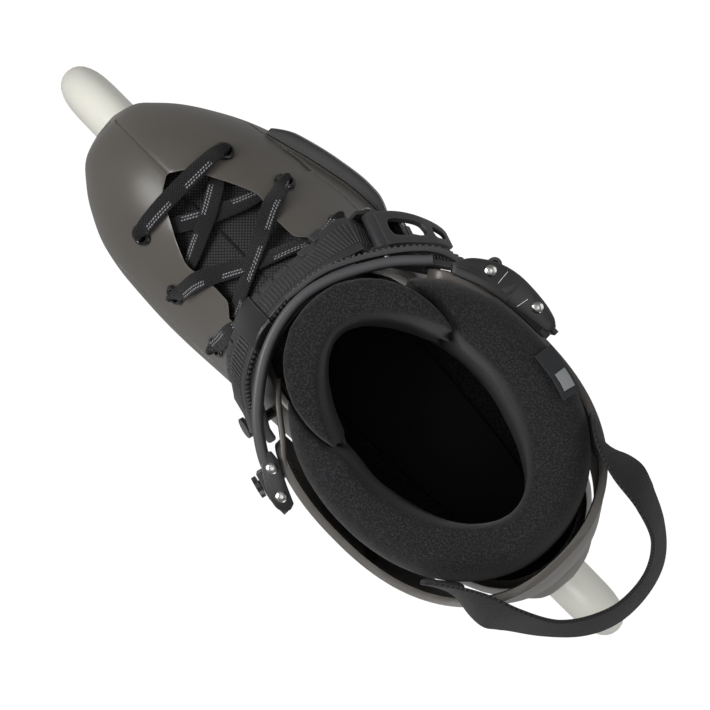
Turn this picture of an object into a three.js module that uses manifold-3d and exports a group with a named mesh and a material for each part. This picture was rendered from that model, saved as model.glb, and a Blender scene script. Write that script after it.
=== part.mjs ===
// Inline skate for the right foot: a moulded shell on a three-wheel frame, with a lace,
// an instep strap and a hinged cuff. Millimetres. +X points at the toe, +Y to the inside
// of the foot, +Z up. The origin is where the middle wheel meets the ground.
import * as THREE from 'three';
import { mergeVertices } from 'three/addons/utils/BufferGeometryUtils.js';
import Module from 'manifold-3d';

const wasm = await Module();
wasm.setup();

// ---- driving dimensions ---------------------------------------------------------------
const gap = 0.3;                 // clearance kept between touching pieces

const wheelDiameter = 125;
const wheelWidth = 24;
const wheelbase = 270;           // front axle to rear axle
const coreRadius = 32;           // where the tyre meets the hub
const bearingBore = 8;
const bearingOuter = 22;
const bearingWidth = 7;
const bearingSpacing = 10.2;     // length of the sleeve between two bearings
const axleHeadRadius = 7;
const axleHeadHeight = 3;

const channelWidth = 27;         // inside width of the frame
const railThickness = 3.5;
const frontDeckZ = 131.5;        // top of the front mounting deck
const rearDeckZ = 138;           // top of the rear mounting deck
const deckThickness = 3.5;
const frontDeck = [42, 112];     // X range of each deck
const rearDeck = [-126, -54];
const mountSpacing = 165;        // distance between the two mounting bolts
const frontBoltX = 75;
const mountBoltRadius = 4;

const shellWall = 3;
const soleThickness = 6;
const linerThickness = 6;
const laceRoom = 5.4;            // space under the shell for the lace
const tongueThickness = 5;
const eyeletBore = 5.6;
const eyeletFlange = 9.5;
const laceWidth = 8.5;
const laceThickness = 1.2;

const pivotX = -75;              // cuff hinge
const pivotZ = 225;
const pivotBoltRadius = 4;
const cuffWall = 3.5;
const flexForward = 5.5;         // degrees the cuff leans forward
const flexBack = 3;
const splitOpening = 12;         // degrees the liner's split stands open in front

const padThickness = 4.6;
const ladderThickness = 2.4;
const ladderWidth = 19;
const instepPadWidth = 31;
const cuffPadWidth = 24;
const loopWidth = 25;
const loopThickness = 1.8;

// ---- colours --------------------------------------------------------------------------
const finish = (color, roughness, metalness = 0) =>
  new THREE.MeshStandardMaterial({ color, roughness, metalness });
const shellPlastic = finish(0x5b5853, 0.45);
const darkPlastic = finish(0x1c1c1d, 0.5);
const strapPlastic = finish(0x4a4b4d, 0.5);
const frameMetal = finish(0x2a2a2c, 0.4, 0.8);
const steel = finish(0xb9babc, 0.3, 1);
const cream = finish(0xe3e2d8, 0.45);
const hubPlastic = finish(0x1a1a1b, 0.45);
const softFabric = finish(0x121213, 0.95);
const laceFabric = finish(0x1b1b1c, 0.9);
const foam = finish(0x2b2c2e, 0.95);

// ---- helpers --------------------------------------------------------------------------
const V = (x, y, z) => new THREE.Vector3(x, y, z);
const rad = THREE.MathUtils.degToRad;

// Smooth curve through [x, value] pairs that never overshoots them.
function profile(points) {
  const slope = points.slice(1).map((p, i) => (p[1] - points[i][1]) / (p[0] - points[i][0]));
  const tangent = points.map((p, i) => {
    if (i === 0) return slope[0];
    if (i === points.length - 1) return slope[i - 1];
    const [a, b] = [slope[i - 1], slope[i]];
    return a * b <= 0 ? 0 : (2 * a * b) / (a + b);
  });
  return (x) => {
    if (x <= points[0][0]) return points[0][1];
    if (x >= points[points.length - 1][0]) return points[points.length - 1][1];
    const i = points.findIndex((p) => p[0] > x) - 1;
    const width = points[i + 1][0] - points[i][0];
    const t = (x - points[i][0]) / width;
    const [t2, t3] = [t * t, t * t * t];
    return (2 * t3 - 3 * t2 + 1) * points[i][1] + (t3 - 2 * t2 + t) * width * tangent[i]
      + (3 * t2 - 2 * t3) * points[i + 1][1] + (t3 - t2) * width * tangent[i + 1];
  };
}

// Closed solid through a list of rings that all have the same number of points.
function loft(rings) {
  const count = rings[0].length;
  const positions = rings.flat().flatMap((p) => [p.x, p.y, p.z]);
  const index = [];
  for (let r = 0; r < rings.length - 1; r++) {
    for (let i = 0; i < count; i++) {
      const [a, b] = [r * count + i, r * count + ((i + 1) % count)];
      index.push(a, b, b + count, a, b + count, a + count);
    }
  }
  for (const r of [0, rings.length - 1]) {
    const centre = positions.length / 3;
    const mean = rings[r].reduce((sum, p) => sum.add(p), V(0, 0, 0)).divideScalar(count);
    positions.push(mean.x, mean.y, mean.z);
    for (let i = 0; i < count; i++) {
      const [a, b] = [r * count + i, r * count + ((i + 1) % count)];
      index.push(...(r === 0 ? [b, a, centre] : [a, b, centre]));
    }
  }
  const geometry = new THREE.BufferGeometry();
  geometry.setAttribute('position', new THREE.BufferAttribute(new Float32Array(positions), 3));
  geometry.setIndex(index);
  return faceOutward(geometry);
}

function faceOutward(geometry) {
  const p = geometry.attributes.position;
  const index = geometry.index.array;
  const [a, b, c] = [V(0, 0, 0), V(0, 0, 0), V(0, 0, 0)];
  let volume = 0;
  for (let i = 0; i < index.length; i += 3) {
    a.fromBufferAttribute(p, index[i]);
    b.fromBufferAttribute(p, index[i + 1]);
    c.fromBufferAttribute(p, index[i + 2]);
    volume += a.dot(b.cross(c));
  }
  if (volume < 0) {
    for (let i = 0; i < index.length; i += 3) {
      [index[i + 1], index[i + 2]] = [index[i + 2], index[i + 1]];
    }
  }
  return geometry;
}

function solid(geometry) {
  const bare = geometry.clone();
  bare.deleteAttribute('normal');
  bare.deleteAttribute('uv');
  const merged = mergeVertices(bare, 1e-4);
  return new wasm.Manifold(new wasm.Mesh({
    numProp: 3,
    vertProperties: Float32Array.from(merged.attributes.position.array),
    triVerts: Uint32Array.from(merged.index.array),
  }));
}

function surface(body) {
  const mesh = body.getMesh();
  const geometry = new THREE.BufferGeometry();
  geometry.setAttribute('position', new THREE.BufferAttribute(mesh.vertProperties, 3));
  geometry.setIndex(Array.from(mesh.triVerts));
  return geometry;
}

const join = (...pieces) => pieces.map(solid).reduce((a, b) => a.add(b));
const cut = (geometry, ...tools) =>
  surface(tools.map(solid).reduce((a, b) => a.subtract(b), solid(geometry)));

function box(x, y, z) {
  const geometry = new THREE.BoxGeometry(x[1] - x[0], y[1] - y[0], z[1] - z[0]);
  return geometry.translate((x[0] + x[1]) / 2, (y[0] + y[1]) / 2, (z[0] + z[1]) / 2);
}

function rod(from, to, radius, sides = 16) {
  const along = to.clone().sub(from);
  const geometry = new THREE.CylinderGeometry(radius, radius, along.length(), sides);
  const turn = new THREE.Quaternion().setFromUnitVectors(V(0, 1, 0), along.normalize());
  geometry.applyQuaternion(turn);
  const middle = from.clone().add(to).divideScalar(2);
  return geometry.translate(middle.x, middle.y, middle.z);
}

// Ring turned around the Y axis; each point of the closed section is [radius, y].
function turned(section, sides) {
  const points = [...section, section[0]].map(([r, y]) => new THREE.Vector2(r, y));
  const geometry = new THREE.LatheGeometry(points, sides);
  geometry.deleteAttribute('normal');
  geometry.deleteAttribute('uv');
  return faceOutward(mergeVertices(geometry, 1e-4));
}

// Side outline [x, z], with any holes, pushed across the skate between two Y values.
function sidePrism(outline, y0, y1, holes = []) {
  const shape = new THREE.Shape(outline.map(([x, z]) => new THREE.Vector2(x, z)));
  shape.holes = holes.map((hole) => new THREE.Path(hole.map(([x, z]) => new THREE.Vector2(x, z))));
  const geometry = new THREE.ExtrudeGeometry(shape, { depth: y1 - y0, bevelEnabled: false });
  return geometry.rotateX(Math.PI / 2).translate(0, y1, 0);
}

// Plan outline [x, y] pushed upward between two Z values.
function planPrism(points, z0, z1) {
  const shape = new THREE.Shape(points.map(([x, y]) => new THREE.Vector2(x, y)));
  const geometry = new THREE.ExtrudeGeometry(shape, { depth: z1 - z0, bevelEnabled: false });
  return geometry.translate(0, 0, z0);
}

// Flat band along a smooth route. Each stop is [x, y, z, nx, ny, nz], where n points off
// the broad face. The band lies between two distances along n.
function band(stops, width, inner, outer, steps, taper = () => 1) {
  const route = new THREE.CatmullRomCurve3(stops.map((s) => V(s[0], s[1], s[2])));
  const faces = new THREE.CatmullRomCurve3(stops.map((s) => V(s[3], s[4], s[5]).normalize()));
  const rings = [];
  for (let i = 0; i <= steps; i++) {
    const t = i / steps;
    const at = route.getPoint(t);
    const along = route.getTangent(t);
    const across = along.clone().cross(faces.getPoint(t)).normalize();
    const off = across.clone().cross(along).normalize();
    const half = (width / 2) * taper(t);
    const corner = (side, depth) =>
      at.clone().addScaledVector(across, side * half).addScaledVector(off, depth);
    rings.push([corner(-1, inner), corner(1, inner), corner(1, outer), corner(-1, outer)]);
  }
  return loft(rings);
}

// ---- the boot's outer form ------------------------------------------------------------
const heelX = -153.4;
const toeX = 155.9;
const insideLine = profile([[heelX, -1.5], [-152, 10.7], [-145, 20.2], [-138, 25.5], [-125, 34],
  [-100, 42], [-60, 45], [-20, 46], [19, 48], [66, 50.3], [95, 48.9], [114, 45.6], [133, 37],
  [142.6, 29.9], [149.7, 22.7], [154.5, 10.8], [toeX, 1]]);
const outsideLine = profile([[heelX, -3.5], [-151, -13], [-145, -23.4], [-138, -29.5],
  [-123.5, -41], [-100, -47], [-60, -51], [-20, -55], [28, -59.7], [47, -60.6], [66, -58.2],
  [90, -52], [109, -44.9], [128, -34.4], [138, -27.3], [147, -18.7], [152, -13], [toeX, -2]]);
const ridgeLine = profile([[heelX, -2.5], [-60, -2.5], [20, 0], [toeX, -0.5]]);
const ridgeZ = profile([[heelX, 162], [-151, 178], [-147, 195], [-142, 215], [-137, 236],
  [-130, 268], [-115, 308], [-90, 328], [-50, 332], [-15, 318], [5, 300], [18, 283], [28, 268],
  [36, 256], [45, 243], [60, 228], [77, 216], [92, 209], [110, 203], [125, 197], [140, 187],
  [150, 175], [154, 163], [toeX, 153]]);
const soleZ = profile([[heelX, 153], [-151, 146], [-145, 141], [-134, rearDeckZ + gap],
  [-50, rearDeckZ + gap], [-20, rearDeckZ - 2], [20, frontDeckZ + 1], [38, frontDeckZ + gap],
  [120, frontDeckZ + gap], [135, 133], [147, 137], [153, 142], [toeX, 148]]);
const roundness = profile([[-160, 2], [0, 2], [20, 1.7], [50, 1.65], [80, 1.75], [115, 2.1],
  [156, 2.3]]);
const soleSquareness = 5;
const widestAboveSole = 18;

function form(x) {
  const [bottom, top] = [soleZ(x), ridgeZ(x)];
  const waist = bottom + Math.min(widestAboveSole, 0.45 * (top - bottom));
  return { ridge: ridgeLine(x), inside: insideLine(x), outside: outsideLine(x), bottom, top,
    waist, power: roundness(x) };
}

// Height of the boot's outer surface above a point in plan.
function topOfBoot(x, y) {
  const f = form(x);
  const reach = y > f.ridge ? f.inside - f.ridge : f.ridge - f.outside;
  const share = Math.min(Math.abs(y - f.ridge) / reach, 1);
  return f.waist + (f.top - f.waist) * (1 - share ** f.power) ** (1 / f.power);
}

// Half-width line of the boot at a height: side is +1 for the inside, -1 for the outside.
function sideOfBoot(x, z, side) {
  const f = form(x);
  const share = Math.max(0, (z - f.waist) / (f.top - f.waist));
  const reach = side > 0 ? f.inside - f.ridge : f.ridge - f.outside;
  return f.ridge + side * reach * (1 - share ** f.power) ** (1 / f.power);
}

function normalOfBoot(x, y) {
  const h = 0.5;
  const dx = (topOfBoot(x + h, y) - topOfBoot(x - h, y)) / (2 * h);
  const dy = (topOfBoot(x, y + h) - topOfBoot(x, y - h)) / (2 * h);
  return V(-dx, -dy, 1).normalize();
}

// The boot's form taken in by `inset` all round and by `floor` at the sole.
function bootForm(inset, floor, stations, points) {
  const middle = (heelX + toeX) / 2;
  const length = toeX - heelX;
  const shrink = (length - 2 * inset) / length;
  const rings = [];
  for (let i = 0; i <= stations; i++) {
    const x = middle - (length / 2) * Math.cos((Math.PI * i) / stations);
    const f = form(x);
    const [wi, wo] = [f.inside - f.ridge - inset, f.ridge - f.outside - inset];
    const [up, down] = [f.top - inset - f.waist, f.waist - f.bottom - floor];
    if (Math.min(wi, wo, up, down) < 0.6) continue;
    const ring = [];
    for (let k = 0; k < points; k++) {
      const a = (2 * Math.PI * k) / points;
      const [c, s] = [Math.cos(a), Math.sin(a)];
      const power = s >= 0 ? f.power : soleSquareness;
      const y = Math.sign(c) * Math.abs(c) ** (2 / power) * (c >= 0 ? wi : wo);
      const z = Math.sign(s) * Math.abs(s) ** (2 / power) * (s >= 0 ? up : down);
      ring.push(V(middle + (x - middle) * shrink, f.ridge + y, f.waist + z));
    }
    rings.push(ring);
  }
  return loft(rings);
}

// ---- assembly -------------------------------------------------------------------------
const skate = new THREE.Group();
function add(name, geometry, material, parent = skate) {
  const mesh = new THREE.Mesh(geometry, material);
  mesh.name = name;
  parent.add(mesh);
  return mesh;
}

// ---- wheels ---------------------------------------------------------------------------
const wheelRadius = wheelDiameter / 2;
const axles = { front: wheelbase / 2, middle: 0, rear: -wheelbase / 2 };
const wheelSides = 24;
const bearingStart = bearingSpacing / 2;
const bearingEnd = bearingStart + bearingWidth;

// Bullet-nosed polyurethane ring, with a flat of 3 mm where it meets the ground.
function tyreGeometry() {
  const half = wheelWidth / 2;
  const crown = wheelRadius / Math.cos(Math.PI / wheelSides);
  const shoulder = [[1.5, 0], [6, 2.2], [9.6, 6.8], [11.6, 13.5]];
  const right = shoulder.map(([y, drop]) => [crown - drop, y]);
  const left = [...right].reverse().map(([r, y]) => [r, -y]);
  const inner = coreRadius + gap;
  const section = [...left, ...right, [inner + 6, half], [inner, half - 3],
    [inner, 3 - half], [inner + 6, -half]];
  return turned(section, wheelSides).rotateY(Math.PI / wheelSides);
}

// Spoked core with a seat for a bearing on each side of an inner shoulder.
function hubGeometry() {
  const seat = bearingOuter / 2 + gap;
  const barrel = turned([[seat, -bearingEnd], [15.5, -bearingEnd], [15.5, bearingEnd],
    [seat, bearingEnd], [seat, bearingStart - gap], [9, bearingStart - gap],
    [9, gap - bearingStart], [seat, gap - bearingStart]], 14);
  const rim = turned([[coreRadius - 3.5, -9], [coreRadius, -8.8], [coreRadius, 8.8],
    [coreRadius - 3.5, 9]], wheelSides);
  const spokes = [];
  for (let k = 0; k < 5; k++) {
    const spoke = box([14.5, coreRadius - 2.5], [-4.5, 4.5], [-4, 4]);
    spokes.push(spoke.rotateY((2 * Math.PI * k) / 5));
  }
  return surface(join(barrel, rim, ...spokes));
}

function bearingGeometry(side) {
  const ring = turned([[bearingBore / 2 + gap, 0], [bearingOuter / 2, 0],
    [bearingOuter / 2, bearingWidth], [bearingBore / 2 + gap, bearingWidth]], 14);
  return ring.translate(0, side > 0 ? bearingStart : -bearingEnd, 0);
}

function spacerGeometry() {
  const half = bearingSpacing / 2 - gap;
  return turned([[bearingBore / 2 + gap, -half], [5.6, -half], [5.6, half],
    [bearingBore / 2 + gap, half]], 10);
}

const railInner = channelWidth / 2;
const railOuter = railInner + railThickness;

function axleGeometry() {
  const shank = rod(V(0, -railOuter - gap, 0), V(0, railOuter, 0), bearingBore / 2 - 0.1, 16);
  const head = rod(V(0, -railOuter - gap - axleHeadHeight, 0), V(0, -railOuter - gap, 0),
    axleHeadRadius, 16);
  const socket = rod(V(0, -railOuter - 5, 0), V(0, -railOuter - gap - 0.8, 0), 2.6, 6);
  return surface(join(shank, head).subtract(solid(socket)));
}

for (const [place, x] of Object.entries(axles)) {
  const wheel = new THREE.Group();
  wheel.position.set(x, 0, wheelRadius);
  skate.add(wheel);
  add(`tyre_${place}`, tyreGeometry(), cream, wheel);
  add(`hub_${place}`, hubGeometry(), hubPlastic, wheel);
  add(`bearing_${place}_inside`, bearingGeometry(1), steel, wheel);
  add(`bearing_${place}_outside`, bearingGeometry(-1), steel, wheel);
  add(`bearing_spacer_${place}`, spacerGeometry(), steel, wheel);
  add(`axle_${place}`, axleGeometry(), steel, wheel);
}

// ---- frame ----------------------------------------------------------------------------
const bossRadius = 10;

// Points of an arc round (x, z), angles in degrees, as [x, z] pairs.
function arc(x, z, radius, from, to, steps) {
  return Array.from({ length: steps + 1 }, (_, i) => {
    const a = rad(from + ((to - from) * i) / steps);
    return [x + radius * Math.cos(a), z + radius * Math.sin(a)];
  });
}

// Points of a bend from `a` to `b` pulled toward `pull`, both ends left out.
function bend(a, pull, b, steps = 6) {
  const curve = new THREE.QuadraticBezierCurve(new THREE.Vector2(...a),
    new THREE.Vector2(...pull), new THREE.Vector2(...b));
  return curve.getPoints(steps).slice(1, -1).map((p) => [p.x, p.y]);
}

function railOutline() {
  const [front, rear, z] = [axles.front, axles.rear, wheelRadius];
  const low = z - bossRadius;
  return [
    ...arc(rear, z, bossRadius, 180, 270, 5),
    ...bend([rear, low], [rear / 2, z + 10], [-5, low]),
    [-5, low], [5, low],
    ...bend([5, low], [front / 2, z + 10], [front, low]),
    ...arc(front, z, bossRadius, -90, 0, 5),
    ...bend([front + bossRadius, z], [front + 8, z + 36], [frontDeck[1], frontDeckZ]),
    [frontDeck[1], frontDeckZ], [frontDeck[0], frontDeckZ],
    ...bend([frontDeck[0], frontDeckZ], [-20, frontDeckZ - 18], [rearDeck[1], rearDeckZ]),
    [rearDeck[1], rearDeckZ], [rearDeck[0], rearDeckZ],
    ...bend([rearDeck[0], rearDeckZ], [rear - 6, z + 42], [rear - bossRadius, z]),
  ];
}

function railWindow(centre) {
  const [bottom, top] = [wheelRadius + 18, wheelRadius + 44];
  return [[centre - 15, bottom], [centre + 15, bottom], [centre + 18, bottom + 5],
    [centre + 12, top], [centre - 12, top], [centre - 18, bottom + 5]];
}

function chassisGeometry() {
  const windows = [railWindow(axles.front / 2), railWindow(axles.rear / 2)];
  const rails = [sidePrism(railOutline(), railInner, railOuter, windows),
    sidePrism(railOutline(), -railOuter, -railInner, windows)];
  const across = [-railOuter + 0.5, railOuter - 0.5];
  const decks = [box(frontDeck, across, [frontDeckZ - deckThickness, frontDeckZ]),
    box(rearDeck, across, [rearDeckZ - deckThickness, rearDeckZ])];
  const bosses = [];
  const holes = [];
  for (const x of Object.values(axles)) {
    for (const side of [-1, 1]) {
      bosses.push(rod(V(x, side * (bearingEnd + gap), wheelRadius),
        V(x, side * (railInner + 1), wheelRadius), 5.8, 16));
    }
    holes.push(rod(V(x, -railOuter - 1, wheelRadius), V(x, railOuter + 1, wheelRadius),
      bearingBore / 2 + gap, 16));
  }
  for (const x of [frontBoltX, frontBoltX - mountSpacing]) {
    holes.push(rod(V(x, 0, frontDeckZ - 10), V(x, 0, rearDeckZ + 10), mountBoltRadius + gap, 16));
  }
  return cut(surface(join(...rails, ...decks, ...bosses)), ...holes);
}
add('frame_chassis', chassisGeometry(), frameMetal);

// Bolt from under a deck up into the sole.
function mountBolt(x, deckZ) {
  const under = deckZ - deckThickness - gap;
  const shank = rod(V(x, 0, under - 1), V(x, 0, deckZ + soleThickness - 1.5), mountBoltRadius, 16);
  const head = rod(V(x, 0, under - 5), V(x, 0, under), 6.5, 16);
  const socket = rod(V(x, 0, under - 6), V(x, 0, under - 2.5), 3, 6);
  return surface(join(shank, head).subtract(solid(socket)));
}
add('mount_bolt_front', mountBolt(frontBoltX, frontDeckZ), steel);
add('mount_bolt_rear', mountBolt(frontBoltX - mountSpacing, rearDeckZ), steel);

// ---- strap bolts ----------------------------------------------------------------------
// Each strap is held on the inside of the skate by one bolt through its wall.
const strapBoltRadius = 2.5;
const instepBoltAt = V(3.5, 48.6, 225);
const instepBoltOff = V(0.25, 0.93, 0.25).normalize();
const cuffBoltAt = V(-19, 59.6, 296);
const cuffBoltOff = V(0.25, 1, 0).normalize();
const strapHole = (at, n) => rod(at.clone().addScaledVector(n, -13),
  at.clone().addScaledVector(n, 13), strapBoltRadius + gap, 12);
function strapBolt(at, n, inside, outside) {
  const shank = rod(at.clone().addScaledVector(n, -inside), at.clone().addScaledVector(n, outside),
    strapBoltRadius, 12);
  const head = rod(at.clone().addScaledVector(n, outside - 0.2),
    at.clone().addScaledVector(n, outside + 1.8), 5, 16);
  return surface(join(shank, head));
}

// ---- shell ----------------------------------------------------------------------------
const throatHalf = profile([[46, 26], [53, 21], [64, 20.8], [77, 23], [86, 20], [98, 14],
  [109, 8], [114, 0.8]]);
const throatEnd = 114;
const throatStart = 46;

function throatOutline() {
  const points = [];
  for (let i = 0; i <= 12; i++) {
    const x = throatStart - 12 + ((throatEnd - throatStart + 12) * i) / 12;
    points.push([x, throatHalf(Math.max(x, throatStart))]);
  }
  return [...points, ...[...points].reverse().map(([x, y]) => [x, -y])];
}

// Top edge of the shell seen from the side: low at the heel, high round the ankle.
const collarEdge = [[-170, 234], [-137, 235], [-112, 240], [-92, 252], [-60, 256], [-20, 256],
  [8, 250], [30, 243], [throatStart, topOfBoot(throatStart, throatHalf(throatStart))]];

const eyelets = {
  front_inside: [103, 28], front_outside: [103.5, -26], middle_inside: [72.5, 36.5],
  middle_outside: [73.5, -36], rear_inside: [41.5, 40], rear_outside: [42.5, -40.5],
};
const eyeletBarrel = eyeletBore / 2 + 1;
const eyeletSeat = (x, y) => V(x, y, topOfBoot(x, y));

const shellStations = 26;
const shellPoints = 20;

const boltHoles = [];
for (const side of [-1, 1]) {
  boltHoles.push(rod(V(pivotX, side * 25, pivotZ), V(pivotX, side * 90, pivotZ),
    pivotBoltRadius + gap));
}

function shellGeometry() {
  const opening = sidePrism([...collarEdge, [throatStart, 400], [-170, 400]], -100, 100);
  const throat = planPrism(throatOutline(), 175, 400);
  const cuts = [bootForm(shellWall, soleThickness, shellStations, shellPoints), opening, throat, ...boltHoles];
  for (const [x, y] of Object.values(eyelets)) {
    const [at, n] = [eyeletSeat(x, y), normalOfBoot(x, y)];
    cuts.push(rod(at.clone().addScaledVector(n, -9), at.clone().addScaledVector(n, 6),
      eyeletBarrel + 2 * gap, 12));
  }
  for (const x of [frontBoltX, frontBoltX - mountSpacing]) {
    const bottom = soleZ(x);
    cuts.push(rod(V(x, 0, bottom - 5), V(x, 0, bottom + soleThickness - 1), mountBoltRadius + gap));
  }
  for (const z of [196, 203]) {
    cuts.push(box([-170, -130], [-15, 10], [z, z + 3]));
  }
  cuts.push(strapHole(instepBoltAt, instepBoltOff));
  return cut(bootForm(0, 0, shellStations, shellPoints), ...cuts);
}
add('shell', shellGeometry(), shellPlastic);

// ---- eyelets and lace -----------------------------------------------------------------
function eyeletGeometry(x, y) {
  const [bore, flange, base] = [eyeletBore / 2, eyeletFlange / 2, 2 * gap];
  const ring = turned([[bore, -shellWall], [eyeletBarrel, -shellWall], [eyeletBarrel, base],
    [flange, base], [flange - 0.6, 1.4], [bore, 1.4]], 12);
  const turn = new THREE.Quaternion().setFromUnitVectors(V(0, 1, 0), normalOfBoot(x, y));
  const at = eyeletSeat(x, y);
  return ring.applyQuaternion(turn).translate(at.x, at.y, at.z);
}
for (const [place, [x, y]] of Object.entries(eyelets)) {
  add(`eyelet_${place}`, eyeletGeometry(x, y), darkPlastic);
}

// Flat lace: down through the rear eyelets, across the throat to the middle pair, on to the
// front pair and over the toe. Each stop is [x, y, lift above the boot, share of full width].
const under = -shellWall - 1.8;
const over = 2.2;
const laceStops = [
  [27, 10, -3.2, 0.9], [34, 16, -2.4, 0.9], [39.5, 27.5, 3, 0.9], [40.6, 35, 2.8, 0.7], ['rear_inside', 1],
  ['rear_inside', -1], [45.5, 32, under, 0.7], [51, 20, under + 0.3, 1], [58, 2, under + 1.9, 1],
  [65, -14, under + 3.4, 1], [68.5, -23, over + 0.9, 1], [71, -30.5, over + 1.4, 0.6],
  ['middle_outside', 1], ['middle_outside', -1], [78, -28, under, 0.7], [82, -17, under, 1],
  [88.5, 0, under + 0.2, 1], [95, 14, under, 0.9], [100.5, 23, under, 0.6], ['front_inside', -1],
  ['front_inside', 1], [104, 22, over + 1.3, 0.5], [104.6, 11, over + 0.2, 1], [104.8, -10, over + 0.2, 1],
  [104.5, -20.5, over + 1.3, 0.5], ['front_outside', 1], ['front_outside', -1],
  [100.5, -22, under, 0.6], [96, -14, under + 0.1, 0.9], [88, 0.5, under + 1.9, 1],
  [82, 17, under, 1], [77, 28, under, 0.7], ['middle_inside', -1], ['middle_inside', 1],
  [70, 31, over + 1.4, 0.6], [68, 23, over + 0.9, 1], [64, 14, under + 3.4, 1],
  [58, -1.5, under + 0.2, 1], [51, -20, under + 0.3, 1], [46, -33, under, 0.7],
  ['rear_outside', -1], ['rear_outside', 1], [41, -35, 2.8, 0.7], [40, -27.5, 3, 0.9],
  [34, -16, -2.4, 0.9], [27, -10, -3.2, 0.9],
];

function laceGeometry() {
  const [points, faces, shares] = [[], [], []];
  for (const stop of laceStops) {
    if (typeof stop[0] === 'string') {
      const [x, y] = eyelets[stop[0]];
      const n = normalOfBoot(x, y);
      points.push(eyeletSeat(x, y).addScaledVector(n, stop[1] > 0 ? 3.3 : -shellWall - 1.8));
      faces.push(V(-1, 0, 0.5).normalize());
      shares.push(0.34);
    } else {
      const [x, y, lift, share] = stop;
      const n = normalOfBoot(x, y);
      points.push(eyeletSeat(x, y).addScaledVector(n, lift));
      faces.push(n);
      shares.push(share);
    }
  }
  const route = new THREE.CatmullRomCurve3(points, false, 'centripetal');
  const steps = (points.length - 1) * 2;
  const rings = [];
  for (let i = 0; i <= steps; i++) {
    const u = i / steps;
    const at = route.getPoint(u);
    const along = route.getTangent(u);
    const k = Math.min(Math.floor(u * (points.length - 1)), points.length - 2);
    const t = u * (points.length - 1) - k;
    const face = faces[k].clone().lerp(faces[k + 1], t);
    const half = (laceWidth / 2) * ((1 - t) * shares[k] + t * shares[k + 1]);
    const across = along.clone().cross(face).normalize();
    const off = across.clone().cross(along).normalize();
    const corner = (side, depth) => at.clone().addScaledVector(across, side * half)
      .addScaledVector(off, (depth * laceThickness) / 2);
    rings.push([corner(-1, -1), corner(1, -1), corner(1, 1), corner(-1, 1)]);
  }
  return loft(rings);
}
add('lace', laceGeometry(), laceFabric);

// ---- liner, tongue and footbed --------------------------------------------------------
// The liner splits along two planes through the cuff hinge, so that the upper part can lean
// with the cuff. The wedge between them closes as the cuff flexes.
const splitAngle = 18;

function belowSplit(lift) {
  const front = splitAngle + lift * splitOpening;
  const back = lift * (flexBack + 1.5);
  const reach = 130;
  return [[pivotX - reach, 0], [pivotX - reach, pivotZ + reach * Math.tan(rad(back))],
    [pivotX, pivotZ], [pivotX + reach, pivotZ + reach * Math.tan(rad(front))],
    [pivotX + reach * 2, pivotZ + reach * Math.tan(rad(front))], [pivotX + reach * 2, 0]];
}

const tongueHalf = profile([[24, 34], [50, 43], [78, 42], [104, 33], [118, 14]]);
function tonguePlan(grow) {
  const points = [];
  for (let i = 0; i <= 8; i++) {
    const x = 8 + ((119 + grow - 8) * i) / 8;
    points.push([x, tongueHalf(x) + grow]);
  }
  return [...points, ...[...points].reverse().map(([x, y]) => [x, -y])];
}

const nutThickness = 2;
const nutSeat = (side) => sideOfBoot(pivotX, pivotZ, side) - side * (shellWall + 1.8);
const nutRoom = [-1, 1].map((side) => solid(rod(
  V(pivotX, nutSeat(side) - side * (nutThickness + 1.2), pivotZ),
  V(pivotX, side * 90, pivotZ), 9.5)));
const linerInset = shellWall + 1.8;
const linerFloor = soleThickness + 4.5;

function linerGeometry() {
  const outer = solid(bootForm(linerInset, linerFloor, 18, 18));
  const cavity = solid(bootForm(linerInset + linerThickness, linerFloor + 3, 16, 16));
  const tongueSlot = solid(planPrism(tonguePlan(0.8), 160, 400));
  const low = solid(sidePrism(belowSplit(0), -90, 90));
  return surface([cavity, tongueSlot, ...nutRoom].reduce((a, b) => a.subtract(b), outer)
    .intersect(low));
}
add('liner_boot', linerGeometry(), softFabric);

function tongueLowGeometry() {
  const inset = shellWall + laceRoom;
  const skin = solid(bootForm(inset, linerFloor, 22, 20));
  const hollow = solid(bootForm(inset + tongueThickness, linerFloor, 20, 18));
  const plan = solid(planPrism(tonguePlan(0), 172, 400));
  return surface(skin.subtract(hollow).intersect(plan).intersect(
    solid(sidePrism(belowSplit(0), -90, 90))));
}
add('tongue_lower', tongueLowGeometry(), softFabric);

// Thin plate that follows the inside of the boot at the sole.
function solePlate(name, lift, thickness, inset, [x0, x1]) {
  const stations = 14;
  const rings = [];
  for (let i = 0; i <= stations; i++) {
    const x = x0 + ((x1 - x0) * i) / stations;
    const z = soleZ(x) + lift;
    const end = Math.sqrt(Math.max(0.02, 1 - Math.abs((2 * i) / stations - 1) ** 8));
    const [inside, outside] = [(insideLine(x) - inset) * end, (outsideLine(x) + inset) * end];
    rings.push([V(x, outside, z), V(x, inside, z), V(x, inside, z + thickness),
      V(x, outside, z + thickness)]);
  }
  add(name, loft(rings), foam);
}
solePlate('heel_shock_pad', soleThickness + 0.6, 3.2, 20, [-132, -52]);
solePlate('footbed', linerFloor + 4.4, 2.4, 25, [-128, 121]);

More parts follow.
